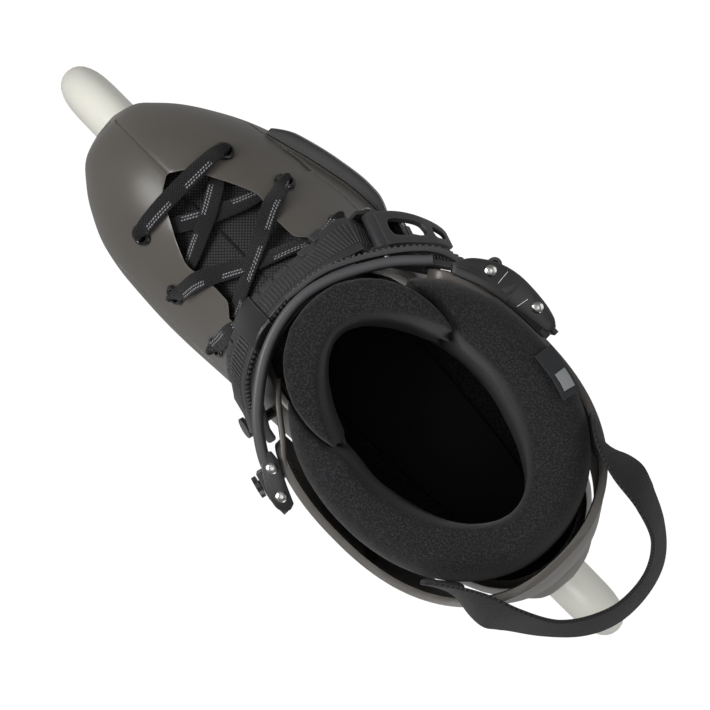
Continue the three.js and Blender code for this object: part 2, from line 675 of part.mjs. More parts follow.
// Padded shaft of the liner. Each level is [z, rear x, front x, inside y, outside y].
const shaftLevels = [[212, -120, 10, 31, -37], [240, -121, 8, 31.5, -37.5],
  [257, -122, 8, 33, -39], [268, -125.5, 9, 42, -49], [285, -125.5, 12, 47, -57], [305, -123.5, 14, 50.5, -62],
  [325, -120.5, 14, 51.5, -64], [333, -117, 11, 48, -60], [337, -110, 4, 41, -52]];
const mouthLevels = [[205, -109, 2, 27, -31], [262, -107, 4, 28, -35], [305, -102, 6, 29.5, -38.5],
  [330, -100, 6.4, 31, -40], [345, -104, 8, 35, -44]];
const tongueLevels = [[262, -56, 29, 29, -34], [285, -56, 24, 30, -37], [305, -55, 22, 31, -40],
  [330, -55, 22.5, 32, -41], [343, -55, 24, 32.5, -41.5]];

function oval([z, rear, front, inside, outside], power, points, grow = 0) {
  const [cx, cy] = [(rear + front) / 2, (inside + outside) / 2];
  const [a, b] = [(front - rear) / 2 + grow, (inside - outside) / 2 + grow];
  return Array.from({ length: points }, (_, i) => {
    const t = (2 * Math.PI * i) / points;
    const [c, s] = [Math.cos(t), Math.sin(t)];
    return V(cx + a * Math.sign(c) * Math.abs(c) ** (2 / power),
      cy + b * Math.sign(s) * Math.abs(s) ** (2 / power), z);
  });
}
const tower = (levels, power, points, grow = 0) =>
  solid(loft(levels.map((level) => oval(level, power, points, grow))));

const lowSide = solid(sidePrism(belowSplit(1), -90, 90));
const shaftTop = solid(box([-200, 100], [-90, 90], [200, 360]));
const collarFront = 3;

function collarGeometry() {
  const outer = tower(shaftLevels, 2.15, 28);
  const mouth = tower(mouthLevels, 1.8, 24);
  const tongue = tower(tongueLevels, 2, 24, 1);
  const front = solid(box([collarFront, 60], [-90, 90], [200, 360]));
  const low = solid(box([-60, 60], [-26, 26], [200, 360]));
  return surface([mouth, tongue, front, lowSide, low, ...nutRoom].reduce(
    (a, b) => a.subtract(b), outer).intersect(shaftTop));
}
add('liner_collar', collarGeometry(), softFabric);


// ---- cuff -----------------------------------------------------------------------------
const cuffLevels = [[190, -147, 12, 51.5, -56], [215, -145.5, 11, 51, -55.8],
  [240, -142, 12, 52, -57.5], [270, -137.5, 16, 55.5, -61.5], [305, -131.5, 21.5, 59, -66],
  [340, -129.5, 24, 60, -67]];
const cuffFrontX = -9;
const cuffSide = [
  [-170, 233], [-118, 233], [-106, 219], [-93, 206], [pivotX, 201], [-57, 207], [-45, 222],
  [-30, 246], [-15, 272], [cuffFrontX, 288], [cuffFrontX, 297], [cuffFrontX - 3, 302],
  [-20, 305], [-70, 307], [-100, 313], [-122, 321], [-140, 323], [-170, 323],
];

function cuffGeometry() {
  const outer = tower(cuffLevels, 2.3, 36);
  const inner = tower(cuffLevels, 2.3, 36, -cuffWall);
  const side = solid(sidePrism(cuffSide, -100, 100));
  return surface([...boltHoles, strapHole(cuffBoltAt, cuffBoltOff)].map(solid).reduce((a, b) => a.subtract(b),
    outer.subtract(inner).intersect(side)));
}
add('cuff', cuffGeometry(), shellPlastic);

// How far the cuff's outer face stands from the middle at the hinge, on each side.
const cuffAtPivot = { 1: 51.5, [-1]: -56.6 };
for (const [name, side] of [['inside', 1], ['outside', -1]]) {
  const face = cuffAtPivot[side] + side * gap * 2;
  const seat = nutSeat(side);
  const head = rod(V(pivotX, face, pivotZ), V(pivotX, face + side * 2.6, pivotZ), 9, 20);
  const shank = rod(V(pivotX, seat - side * nutThickness, pivotZ), V(pivotX, face + side, pivotZ), pivotBoltRadius);
  const slot = box([pivotX - 4.5, pivotX + 4.5], [face + side * 1.6, face + side * 3].sort((a, b) => a - b),
    [pivotZ - 0.8, pivotZ + 0.8]);
  add(`cuff_bolt_${name}`, surface(join(head, shank).subtract(solid(slot))), steel);
  const nut = rod(V(pivotX, seat - side * nutThickness, pivotZ), V(pivotX, seat, pivotZ), 7.5, 16);
  const bore = rod(V(pivotX, seat - side * 4, pivotZ), V(pivotX, seat + side * 4, pivotZ),
    pivotBoltRadius + gap);
  add(`cuff_nut_${name}`, cut(nut, bore), steel);
}

// ---- straps ---------------------------------------------------------------------------
// Middle line of each pad: [x, y, z] and the direction off its broad face.
const instepRoute = [
  [2, 49.5, 222, 0.25, 0.95, 0.2], [10, 45.5, 238, 0.45, 0.8, 0.35], [23, 35.5, 254, 0.65, 0.5, 0.5],
  [31.5, 17, 261, 0.8, 0.2, 0.55], [33.5, 0, 262.5, 0.85, 0, 0.55],
  [32, -17, 261, 0.8, -0.2, 0.55], [27, -31, 257.5, 0.6, -0.55, 0.55],
];
const cuffRoute = [
  [-24, 61, 296, 0.2, 1, 0], [-8, 55, 297, 0.5, 0.9, 0], [8, 42, 299, 0.75, 0.65, 0],
  [22, 22, 301, 0.9, 0.4, 0], [27.5, 1, 301.5, 1, 0, 0], [24.5, -18, 301, 0.9, -0.4, 0],
  [13, -40, 300, 0.75, -0.65, 0], [0, -55, 299, 0.6, -0.8, 0],
];
const ladderGap = padThickness / 2 + 2 * gap;
const offset = (route, by) => route.map(([x, y, z, a, b, c]) => {
  const n = V(a, b, c).normalize();
  return [x + n.x * by, y + n.y * by, z + n.z * by, a, b, c];
});

const instepPad = band(instepRoute, instepPadWidth, -padThickness / 2, padThickness / 2, 16,
  (t) => 0.72 + 0.28 * Math.sin(Math.PI * t));
add('instep_pad', cut(instepPad, strapHole(instepBoltAt, instepBoltOff)), strapPlastic);
// The upper tongue leans with the cuff, so its front is hollowed where the instep pad comes
// up and back against it.
function tongueHighGeometry() {
  const outer = tower(tongueLevels, 2, 24);
  const mouth = tower(mouthLevels, 1.8, 24);
  const keep = solid(box([-34, 60], [-90, 90], [200, 360]));
  const cuts = [mouth, lowSide];
  for (let lean = 1; lean <= flexForward + 1; lean += 1.5) {
    const room = band(instepRoute.slice(1), instepPadWidth + 2, -padThickness / 2 - 1, 8, 10);
    cuts.push(solid(room.translate(-pivotX, 0, -pivotZ).rotateY(-rad(lean))
      .translate(pivotX, 0, pivotZ)));
  }
  return surface(cuts.reduce((a, b) => a.subtract(b), outer).intersect(keep));
}
add('tongue_upper', tongueHighGeometry(), softFabric);
const cuffPad = band(cuffRoute, cuffPadWidth, -padThickness / 2, padThickness / 2, 18,
  (t) => 0.8 + 0.2 * Math.sin(Math.PI * t));
add('cuff_pad', cut(cuffPad, strapHole(cuffBoltAt, cuffBoltOff)), strapPlastic);

// ---- instep buckle --------------------------------------------------------------------
// Its own frame: X runs up the strap toward the toe side, Z points off the boot.
const instepAlong = V(0.652, 0.474, 0.593).normalize();
const instepOff = V(0.127, -0.83, 0.524).normalize();
const instepAcross = instepOff.clone().cross(instepAlong).normalize();
const instepOrigin = V(21, -44, 243);
const instepBuckle = new THREE.Group();
instepBuckle.position.copy(instepOrigin);
instepBuckle.quaternion.setFromRotationMatrix(
  new THREE.Matrix4().makeBasis(instepAlong, instepAcross,
    instepAlong.clone().cross(instepAcross).normalize()));
skate.add(instepBuckle);

const buckleWidth = 25;
const cheek = 2;
const pinRadius = 1.6;
const leverPin = { x: 6.4, z: 8 };
const catchPin = { x: -12.5, z: 7.4 };
const floorThickness = 1.8;
const cheekSide = [[-19, 0], [14, 0], [13, 8], [leverPin.x, 11], [-12, 10.5], [-19, 5]];

function instepBase() {
  const half = buckleWidth / 2;
  const floor = box([-31, 17], [-half, half], [0, floorThickness]);
  const pad = box([-31, -21], [-8, 8], [-3.6, 1]);
  const cheeks = [sidePrism(cheekSide, half - cheek, half), sidePrism(cheekSide, -half, cheek - half)];
  const holes = [leverPin, catchPin].map((pin) =>
    rod(V(pin.x, -half - 2, pin.z), V(pin.x, half + 2, pin.z), pinRadius + gap, 12));
  return cut(surface(join(floor, pad, ...cheeks)), ...holes);
}
add('instep_buckle_base', instepBase(), darkPlastic, instepBuckle);

// Thumb lever: a neck round its pin and a wide blade with two windows.
function instepLever() {
  const half = buckleWidth / 2 - cheek - gap;
  const neck = rod(V(leverPin.x, -half, leverPin.z), V(leverPin.x, half, leverPin.z), 3, 16);
  const blade = sidePrism([[leverPin.x, 9], [leverPin.x - 1, 12], [-4, 15], [-20, 15.5], [-33, 13],
    [-33.5, 11.2], [-20, 13.2], [-4, 12.4]], -half, half);
  const windows = [planPrism([[-15, -5.5], [1, -5.5], [1, 5.5], [-15, 5.5]], 5, 20),
    planPrism([[-26, -3.5], [-20, -4.5], [-20, 4.5], [-26, 3.5]], 5, 20)];
  const bore = rod(V(leverPin.x, -half - 1, leverPin.z), V(leverPin.x, half + 1, leverPin.z),
    pinRadius + gap, 12);
  const ladderPath = box([-40, 20], [-20, 20], [0, floorThickness + ladderThickness + 2 * gap]);
  return cut(surface(join(neck, blade)), bore, ladderPath, ...windows);
}
add('instep_lever', instepLever(), strapPlastic, instepBuckle);

// Sprung catch that holds the ladder's teeth.
function instepCatch() {
  const half = buckleWidth / 2 - cheek - gap;
  const body = sidePrism([[-16, 8.8], [-9.5, 9.6], [-8.4, 7], [-10.4, 4.9], [-12.5, 4.9], [-15, 6.2]],
    -half + 2, half - 2);
  const bore = rod(V(catchPin.x, -half - 1, catchPin.z), V(catchPin.x, half + 1, catchPin.z),
    pinRadius + gap, 12);
  return cut(body, bore);
}
add('instep_catch', instepCatch(), darkPlastic, instepBuckle);

function bucklePin({ x, z }) {
  const half = buckleWidth / 2;
  const shank = rod(V(x, -half - 0.6, z), V(x, half + 0.6, z), pinRadius, 12);
  const heads = [-1, 1].map((side) => rod(V(x, side * (half + gap), z),
    V(x, side * (half + 1.1), z), 2.8, 12));
  return surface(join(shank, ...heads));
}
add('instep_lever_pin', bucklePin(leverPin), steel, instepBuckle);
add('instep_catch_pin', bucklePin(catchPin), steel, instepBuckle);

const inBuckle = (x, z) => instepOrigin.clone().addScaledVector(instepAlong, x)
  .addScaledVector(instepOff, z);
const ladderFloor = floorThickness + gap + ladderThickness / 2;
const off = [instepOff.x, instepOff.y, instepOff.z];
const instepLadderRoute = [
  ...offset([[8, 46.4, 234.5, 0.4, 0.85, 0.3], ...instepRoute.slice(1, 6)],
    ladderGap + gap + ladderThickness / 2),
  [...inBuckle(19, ladderFloor).toArray(), ...off], [...inBuckle(8, ladderFloor).toArray(), ...off],
  [...inBuckle(-15, ladderFloor).toArray(), ...off],
  [...inBuckle(-40, ladderFloor).toArray(), ...off],
];
add('instep_ladder', band(instepLadderRoute, ladderWidth, -ladderThickness / 2,
  ladderThickness / 2, 26), strapPlastic);

// Loop that keeps the ladder on its pad.
function keeper(route, at, width, length) {
  const [x, y, z, a, b, c] = offset(route, 0)[at];
  const stops = [route[at - 1], route[at], route[at + 1]].map((s) => [...s]);
  const near = stops.map((s) => s.map((v, i) => v + (stops[1][i] - v) * (1 - length)));
  const inner = ladderGap + ladderThickness + 4 * gap;
  const top = band(near, width, inner, inner + 1.4, 4);
  const lip = (side) => {
    const across = V(...near[2].slice(0, 3)).sub(V(...near[0].slice(0, 3)))
      .cross(V(a, b, c)).normalize().multiplyScalar((side * width) / 2);
    const moved = near.map((s) => [s[0] + across.x, s[1] + across.y, s[2] + across.z,
      ...s.slice(3)]);
    return band(moved, 1.6, padThickness / 2 + 4 * gap, inner + 1.2, 4);
  };
  return surface(join(top, lip(-1), lip(1)));
}
add('instep_keeper', keeper(instepRoute, 3, ladderWidth + 6, 0.3), strapPlastic);

// ---- cuff buckle ----------------------------------------------------------------------
const cuffLadderRoute = [
  ...offset(cuffRoute.slice(4), ladderGap + gap + ladderThickness / 2),
  [-12, -64.4, 297, 0.2, -1, 0], [-26, -69.4, 296, 0.1, -1, 0], [-46, -71.2, 295, 0, -1, 0],
  [-60, -71, 294.5, 0, -1, 0],
];
const cuffBaseRoute = [[-10, -59, 296, 0.35, -1, 0], [-24, -64.2, 296, 0.2, -1, 0],
  [-40, -66.9, 295, 0.05, -1, 0], [-58, -67.2, 294, -0.05, -1, 0]];
const cuffBuckleWidth = 25;
const cuffLeverPin = { x: -20.5, y: -72.8 };
const cuffCatchPin = { x: -47, y: -75.4 };

const cuffBase = band(cuffBaseRoute, cuffBuckleWidth, 0, 2, 12);
const pinPosts = [cuffLeverPin, cuffCatchPin];
const pinLow = 295.5 - cuffBuckleWidth / 2 - 1;
const pinHigh = 295.5 + cuffBuckleWidth / 2 + 1;

// Curved base with an ear above and below for each pin.
function cuffBuckleBase() {
  const ears = [];
  for (const { x, y } of pinPosts) {
    for (const z of [pinLow + 1.2, pinHigh - 3.2]) {
      ears.push(box([x - 4, x + 4], [y - 3.6, y + 9.5], [z, z + 2]));
    }
  }
  const holes = pinPosts.map(({ x, y }) => rod(V(x, y, pinLow - 2), V(x, y, pinHigh + 2),
    pinRadius + gap, 12));
  const room = solid(cuffLadderRoom());
  return surface(holes.map(solid).reduce((a, b) => a.subtract(b),
    join(cuffBase, ...ears).subtract(room)));
}

function cuffLadderRoom() {
  return band(cuffLadderRoute, ladderWidth + 1, -1.6, 1.6, 24);
}

add('cuff_buckle_base', cuffBuckleBase(), darkPlastic);
add('cuff_ladder', band(cuffLadderRoute, ladderWidth, -ladderThickness / 2,
  ladderThickness / 2, 24), strapPlastic);

// Long curved lever that swings out about the front pin.
function cuffLever() {
  const { x, y } = cuffLeverPin;
  const tall = [pinLow + 3.6, pinHigh - 3.6];
  const plan = [[x + 1, y - 3.2], [x - 1, y + 1], [x - 5, y - 2.6], [-36, y - 5], [-52, y - 5.4],
    [-60, y - 3.4], [-60.5, y - 5.4], [-52, y - 8.2], [-36, y - 8.8], [x - 4, y - 5.4]];
  const neck = rod(V(x, y, tall[0]), V(x, y, tall[1]), 3.3, 16);
  const slots = [box([-40, -36], [-100, -60], [290, 301]), box([-53, -50], [-100, -60], [290, 301])];
  const bore = rod(V(x, y, 270), V(x, y, 320), pinRadius + gap, 12);
  return cut(surface(join(planPrism(plan, ...tall), neck)), bore, ...slots);
}
add('cuff_lever', cuffLever(), strapPlastic);

function uprightPin({ x, y }) {
  const shank = rod(V(x, y, pinLow), V(x, y, pinHigh), pinRadius, 12);
  const head = rod(V(x, y, pinHigh - 0.6), V(x, y, pinHigh + 0.8), 2.8, 12);
  return surface(join(shank, head));
}
add('cuff_lever_pin', uprightPin(cuffLeverPin), steel);
add('cuff_catch_pin', uprightPin(cuffCatchPin), steel);

// ---- anchors --------------------------------------------------------------------------
const anchorPlate = [
  [-33, 63.6, 295.5, 0.1, 1, 0], [-24, 63.4, 296, 0.2, 1, 0], [-13, 60, 296.5, 0.45, 0.9, 0]];
add('cuff_strap_anchor', cut(band(anchorPlate, 20, 0.8, 3, 6),
  strapHole(cuffBoltAt, cuffBoltOff)), darkPlastic);
add('cuff_strap_bolt', strapBolt(cuffBoltAt, cuffBoltOff, 7.6, 6.4), steel);
add('instep_strap_bolt', strapBolt(instepBoltAt, instepBoltOff, 8, 6.4), steel);

// ---- outer trim -----------------------------------------------------------------------
// Rub strip along the widest part of the outside, screwed flat against the shell.
const sliderX = [31, 98];
const sliderHeight = [147, 168];
function sliderGeometry() {
  const [inner, outer] = [[], []];
  const steps = 12;
  for (let i = 0; i <= steps; i++) {
    const x = sliderX[0] + ((sliderX[1] - sliderX[0]) * i) / steps;
    const end = Math.min(1, i / 2, (steps - i) / 2);
    inner.push([x, outsideLine(x) - 2 * gap]);
    outer.push([x, outsideLine(x) - 2 * gap - 1.2 - 3 * end]);
  }
  return planPrism([...inner, ...outer.reverse()], ...sliderHeight);
}
add('slider_outside', sliderGeometry(), darkPlastic);

// Webbing loop sewn to the back of the liner's collar, for pulling the skate on.
const loopRoute = [
  [-100.5, 38.6, 318, -0.62, 0.76, 0], [-103, 38.8, 328, -0.6, 0.74, 0.25],
  [-119, 34, 336, -0.35, 0.7, 0.6], [-131, 28.5, 335.5, -0.35, 0.8, 0.5],
  [-146, 19, 328, -0.6, 0.7, 0.35], [-158, 5, 321, -0.85, 0.35, 0.35],
  [-163, -10, 317, -0.95, 0, 0.35], [-160, -28, 320, -0.85, -0.4, 0.35],
  [-149, -41, 327, -0.5, -0.75, 0.35], [-134, -47.5, 335, -0.2, -0.85, 0.5],
  [-120, -50, 336, -0.1, -0.8, 0.6], [-103, -51.2, 328, -0.6, -0.74, 0.25],
  [-100.5, -51, 318, -0.62, -0.76, 0],
];
add('pull_loop', band(loopRoute, loopWidth, -loopThickness / 2, loopThickness / 2, 36,
  (t) => 0.6 + 0.4 * Math.sqrt(Math.sin(Math.PI * t))), softFabric);

const labelRoute = [[-82, -55.5, 333.3, -0.3, -0.7, 0.66], [-71, -58.6, 333.3, -0.2, -0.74, 0.66],
  [-60, -60.1, 333.3, -0.05, -0.75, 0.66]];
add('label_tab', band(labelRoute, 13, 0, 0.9, 2), softFabric);

export default skate;
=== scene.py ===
"""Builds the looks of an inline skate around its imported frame. Lengths in the shape code
are millimetres until make_mesh turns them into metres."""
import math

import bmesh
import bpy
import numpy as np
from mathutils import Matrix, Vector


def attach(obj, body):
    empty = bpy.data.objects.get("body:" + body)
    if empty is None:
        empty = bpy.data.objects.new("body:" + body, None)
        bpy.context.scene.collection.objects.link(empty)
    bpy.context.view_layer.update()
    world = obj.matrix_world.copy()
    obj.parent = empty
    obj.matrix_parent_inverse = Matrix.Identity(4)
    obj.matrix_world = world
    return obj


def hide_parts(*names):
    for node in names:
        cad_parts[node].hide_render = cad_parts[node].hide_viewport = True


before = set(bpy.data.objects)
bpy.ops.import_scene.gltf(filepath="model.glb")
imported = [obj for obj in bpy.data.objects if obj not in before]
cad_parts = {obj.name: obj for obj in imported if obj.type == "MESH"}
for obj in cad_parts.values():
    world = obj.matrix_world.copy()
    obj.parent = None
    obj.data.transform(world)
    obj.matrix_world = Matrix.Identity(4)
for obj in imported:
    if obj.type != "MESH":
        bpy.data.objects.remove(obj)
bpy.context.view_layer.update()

bl_info = {
    "name": "Inline skate builder",
    "version": (1, 0, 0),
    "blender": (4, 5, 0),
    "location": "View3D > Sidebar > Skate",
    "description": "Makes the shell, liner, straps, wheels and trim of an inline skate",
    "category": "Object",
}

MM = 0.001
PIVOT_X, PIVOT_Z = -75, 225          # the cuff's hinge
PIVOT_BORE, MOUNT_BORE, STRAP_BORE = 4.3, 4.3, 2.8
MOUNT_BOLTS_X = (75, -90)
THROUGH_STRAP = (-13, 13)            # reach of a tool that bores a strap and its wall


# ---- the boot's outer form ------------------------------------------------------------
def profile(points):
    """Smooth curve through (x, value) pairs that never overshoots them."""
    xs = np.array([p[0] for p in points], float)
    ys = np.array([p[1] for p in points], float)
    slope = np.diff(ys) / np.diff(xs)
    tangent = np.empty(len(xs))
    tangent[0], tangent[-1] = slope[0], slope[-1]
    for i in range(1, len(xs) - 1):
        a, b = slope[i - 1], slope[i]
        tangent[i] = 0 if a * b <= 0 else 2 * a * b / (a + b)

    def value(x):
        x = min(max(x, xs[0]), xs[-1])
        i = min(int(np.searchsorted(xs, x, side="right")) - 1, len(xs) - 2)
        width = xs[i + 1] - xs[i]
        t = (x - xs[i]) / width
        return float(
            (2 * t**3 - 3 * t**2 + 1) * ys[i]
            + (t**3 - 2 * t**2 + t) * width * tangent[i]
            + (3 * t**2 - 2 * t**3) * ys[i + 1]
            + (t**3 - t**2) * width * tangent[i + 1]
        )

    return value


GAP = 0.3
FRONT_DECK, REAR_DECK = 131.5, 138.0
HEEL, TOE = -153.4, 155.9
inside_line = profile([
    (HEEL, -1.5), (-152, 10.7), (-145, 20.2), (-138, 25.5), (-125, 34), (-100, 42), (-60, 45),
    (-20, 46), (19, 48), (66, 50.3), (95, 48.9), (114, 45.6), (133, 37), (142.6, 29.9),
    (149.7, 22.7), (154.5, 10.8), (TOE, 1)])
outside_line = profile([
    (HEEL, -3.5), (-151, -13), (-145, -23.4), (-138, -29.5), (-123.5, -41), (-100, -47),
    (-60, -51), (-20, -55), (28, -59.7), (47, -60.6), (66, -58.2), (90, -52), (109, -44.9),
    (128, -34.4), (138, -27.3), (147, -18.7), (152, -13), (TOE, -2)])
ridge_line = profile([(HEEL, -2.5), (-60, -2.5), (20, 0), (TOE, -0.5)])
ridge_z = profile([
    (HEEL, 162), (-151, 178), (-147, 195), (-142, 215), (-137, 236), (-130, 268), (-115, 308),
    (-90, 328), (-50, 332), (-15, 318), (5, 300), (18, 283), (28, 268), (36, 256), (45, 243),
    (60, 228), (77, 216), (92, 209), (110, 203), (125, 197), (140, 187), (150, 175), (154, 163),
    (TOE, 153)])
sole_z = profile([
    (HEEL, 153), (-151, 146), (-145, 141), (-134, REAR_DECK + GAP), (-50, REAR_DECK + GAP),
    (-20, REAR_DECK - 2), (20, FRONT_DECK + 1), (38, FRONT_DECK + GAP), (120, FRONT_DECK + GAP),
    (135, 133), (147, 137), (153, 142), (TOE, 148)])
roundness = profile([(-160, 2), (0, 2), (20, 1.7), (50, 1.65), (80, 1.75), (115, 2.1), (156, 2.3)])
SOLE_SQUARENESS = 5
WIDEST_ABOVE_SOLE = 18


def form(x):
    """Section of the boot at x: ridge, inside, outside, bottom, top, waist and roundness."""
    bottom, top = sole_z(x), ridge_z(x)
    waist = bottom + min(WIDEST_ABOVE_SOLE, 0.45 * (top - bottom))
    return ridge_line(x), inside_line(x), outside_line(x), bottom, top, waist, roundness(x)


def top_of_boot(x, y):
    """Height of the boot's outer surface above a point in plan."""
    ridge, inside, outside, _, top, waist, power = form(x)
    reach = inside - ridge if y > ridge else ridge - outside
    share = min(abs(y - ridge) / reach, 1)
    return waist + (top - waist) * (1 - share**power) ** (1 / power)


def side_of_boot(x, z, side):
    """Y of the outer surface at a height; side is 1 for the inside and -1 for the outside."""
    ridge, inside, outside, _, top, waist, power = form(x)
    share = min(max(0, (z - waist) / (top - waist)), 1)
    reach = inside - ridge if side > 0 else ridge - outside
    return ridge + side * reach * (1 - share**power) ** (1 / power)


def normal_of_boot(x, y):
    """Direction off the boot's upper surface."""
    h = 0.5
    dx = (top_of_boot(x + h, y) - top_of_boot(x - h, y)) / (2 * h)
    dy = (top_of_boot(x, y + h) - top_of_boot(x, y - h)) / (2 * h)
    return Vector((-dx, -dy, 1)).normalized()


def signed_power(value, power):
    """Power that keeps the sign."""
    return math.copysign(abs(value) ** power, value)


def boot_rings(inset, floor, stations, points, shape=None):
    """Rings of the boot's form taken in by inset all round and by floor at the sole."""
    middle, length = (HEEL + TOE) / 2, TOE - HEEL
    shrink = (length - 2 * inset) / length
    rings = []
    for i in range(stations + 1):
        x = middle - length / 2 * math.cos(math.pi * i / stations)
        ridge, inside, outside, bottom, top, waist, power = form(x)
        wide = (inside - ridge - inset, ridge - outside - inset)
        up, down = top - inset - waist, waist - bottom - floor
        if min(*wide, up, down) < 0.6:
            continue
        ring = []
        for k in range(points):
            a = 2 * math.pi * k / points
            c, s = math.cos(a), math.sin(a)
            n = power if s >= 0 else SOLE_SQUARENESS
            y = signed_power(c, 2 / n) * (wide[0] if c >= 0 else wide[1])
            z = signed_power(s, 2 / n) * (up if s >= 0 else down)
            point = Vector((middle + (x - middle) * shrink, ridge + y, waist + z))
            ring.append(shape(point) if shape else point)
        rings.append(ring)
    return rings


# ---- mesh helpers ---------------------------------------------------------------------
def make_mesh(name, verts, faces, material, uvs=None):
    """Object at the origin from points in millimetres; uvs holds one (u, v) for each vertex."""
    mesh = bpy.data.meshes.new(name)
    mesh.from_pydata([tuple(c * MM for c in v) for v in verts], [], faces)
    if uvs:
        layer = mesh.uv_layers.new(name="UVMap")
        for loop in mesh.loops:
            layer.data[loop.index].uv = uvs[loop.vertex_index]
    mesh.materials.append(material)
    mesh.validate()
    obj = bpy.data.objects.new(name, mesh)
    bpy.context.scene.collection.objects.link(obj)
    face_outward(obj)
    return obj


def face_outward(obj):
    """Turns every face of a closed mesh outward and gives it smooth shading."""
    bm = bmesh.new()
    bm.from_mesh(obj.data)
    bmesh.ops.recalc_face_normals(bm, faces=bm.faces)
    if bm.calc_volume(signed=True) < 0:
        bmesh.ops.reverse_faces(bm, faces=bm.faces)
    bm.to_mesh(obj.data)
    bm.free()
    smooth(obj)


def smooth(obj, angle=35):
    """Smooth shading with creases where faces meet at more than the angle, in degrees."""
    obj.data.shade_smooth()
    obj.data.set_sharp_from_angle(angle=math.radians(angle))


def loft(name, rings, material, uvs=None):
    """Closed solid through rings that all have the same number of points."""
    count = len(rings[0])
    verts = [p for ring in rings for p in ring]
    faces = []
    for r in range(len(rings) - 1):
        for i in range(count):
            a, b = r * count + i, r * count + (i + 1) % count
            faces.append((a, b, b + count, a + count))
    last = (len(rings) - 1) * count
    faces += [tuple(range(count - 1, -1, -1)), tuple(range(last, last + count))]
    return make_mesh(name, verts, faces, material, uvs)


def settle(obj):
    """Applies every modifier by taking the evaluated mesh."""
    evaluated = obj.evaluated_get(bpy.context.evaluated_depsgraph_get())
    mesh = bpy.data.meshes.new_from_object(evaluated)
    old = obj.data
    obj.modifiers.clear()
    obj.data = mesh
    mesh.name = obj.name
    bpy.data.meshes.remove(old)
    return obj


def modify(obj, kind, **settings):
    """Adds one modifier, sets it and applies it."""
    modifier = obj.modifiers.new(kind.title(), kind)
    for key, value in settings.items():
        setattr(modifier, key, value)
    return settle(obj)


def carve(obj, *tools, operation="DIFFERENCE"):
    """Cuts or joins solids and deletes the tools; the piece keeps its own material."""
    material = obj.data.materials[0]
    for tool in tools:
        modify(obj, "BOOLEAN", object=tool, operation=operation, solver="MANIFOLD")
        bpy.data.objects.remove(tool)
    obj.data.materials.clear()
    obj.data.materials.append(material)
    obj.data.polygons.foreach_set("material_index", [0] * len(obj.data.polygons))
    return obj


def soften(obj, width, segments=2, angle=40):
    """Rounds the sharp edges of a piece."""
    modify(obj, "BEVEL", width=width * MM, segments=segments, limit_method="ANGLE",
           angle_limit=math.radians(angle), use_clamp_overlap=True)
    smooth(obj)
    return obj


def block(name, x, y, z, material=None):
    """Box between pairs of limits."""
    rings = [[Vector((x[i], y[0], z[0])), Vector((x[i], y[1], z[0])),
              Vector((x[i], y[1], z[1])), Vector((x[i], y[0], z[1]))] for i in (0, 1)]
    return loft(name, rings, material)


def side_prism(name, outline, y0, y1, material=None):
    """Side outline of (x, z) pushed across the skate."""
    return loft(name, [[Vector((x, y, z)) for x, z in outline] for y in (y0, y1)], material)


def plan_prism(name, outline, z0, z1, material=None):
    """Plan outline of (x, y) pushed upward."""
    return loft(name, [[Vector((x, y, z)) for x, y in outline] for z in (z0, z1)], material)


def circle(at, axis, radius, sides):
    """Points of a circle round an axis."""
    turn = Vector(axis).to_track_quat("Z", "Y")
    return [Vector(at) + turn @ Vector((radius * math.cos(2 * math.pi * k / sides),
                                        radius * math.sin(2 * math.pi * k / sides), 0))
            for k in range(sides)]


def turned(name, at, axis, section, sides, material):
    """Solid of revolution: section is (distance along the axis, radius) pairs."""
    direction = Vector(axis).normalized()
    return loft(name, [circle(Vector(at) + direction * d, axis, max(r, 0.01), sides)
                       for d, r in section], material)


def turned_ring(name, at, axis, section, sides, material):
    """Ring of revolution whose closed section is (distance along the axis, radius) pairs."""
    direction = Vector(axis).normalized()
    rings = [circle(Vector(at) + direction * d, axis, r, sides) for d, r in section]
    count, total = sides, len(section)
    verts = [p for ring in rings for p in ring]
    faces = []
    for r in range(total):
        for i in range(count):
            j, s = (i + 1) % count, (r + 1) % total
            faces.append((r * count + i, r * count + j, s * count + j, s * count + i))
    return make_mesh(name, verts, faces, material)


def spline(points, steps):
    """Even steps along a smooth curve through the points; works on vectors of any size."""
    p = [np.array(q, float) for q in points]
    p = [2 * p[0] - p[1], *p, 2 * p[-1] - p[-2]]
    out = []
    spans = len(points) - 1
    for i in range(steps + 1):
        u = min(i / steps * spans, spans - 1e-9)
        k, t = int(u), u - int(u)
        a, b, c, d = p[k:k + 4]
        out.append(0.5 * ((2 * b) + (c - a) * t + (2 * a - 5 * b + 4 * c - d) * t**2
                          + (3 * b - a - 3 * c + d) * t**3))
    return out


def band_frames(stops, steps):
    """Points along a strap with their direction, the way across and the way off its face."""
    route = spline([s[:6] for s in stops], steps)
    places = [Vector(r[:3]) for r in route]
    frames = []
    for i, at in enumerate(places):
        ahead, behind = places[min(i + 1, steps)], places[max(i - 1, 0)]
        along = (ahead - behind).normalized()
        across = along.cross(Vector(route[i][3:6])).normalized()
        frames.append((at, along, across, across.cross(along).normalized()))
    return frames


def rounded_strip(half, low, high, corner, per_corner=3):
    """Closed section of a strap as (across, off) pairs with round corners."""
    corner = min(corner, half * 0.9, (high - low) / 2)
    centres = [(half - corner, low + corner, -90), (half - corner, high - corner, 0),
               (corner - half, high - corner, 90), (corner - half, low + corner, 180)]
    section = []
    for a, b, start in centres:
        for k in range(per_corner + 1):
            angle = math.radians(start + 90 * k / per_corner)
            section.append((a + corner * math.cos(angle), b + corner * math.sin(angle)))
    return section


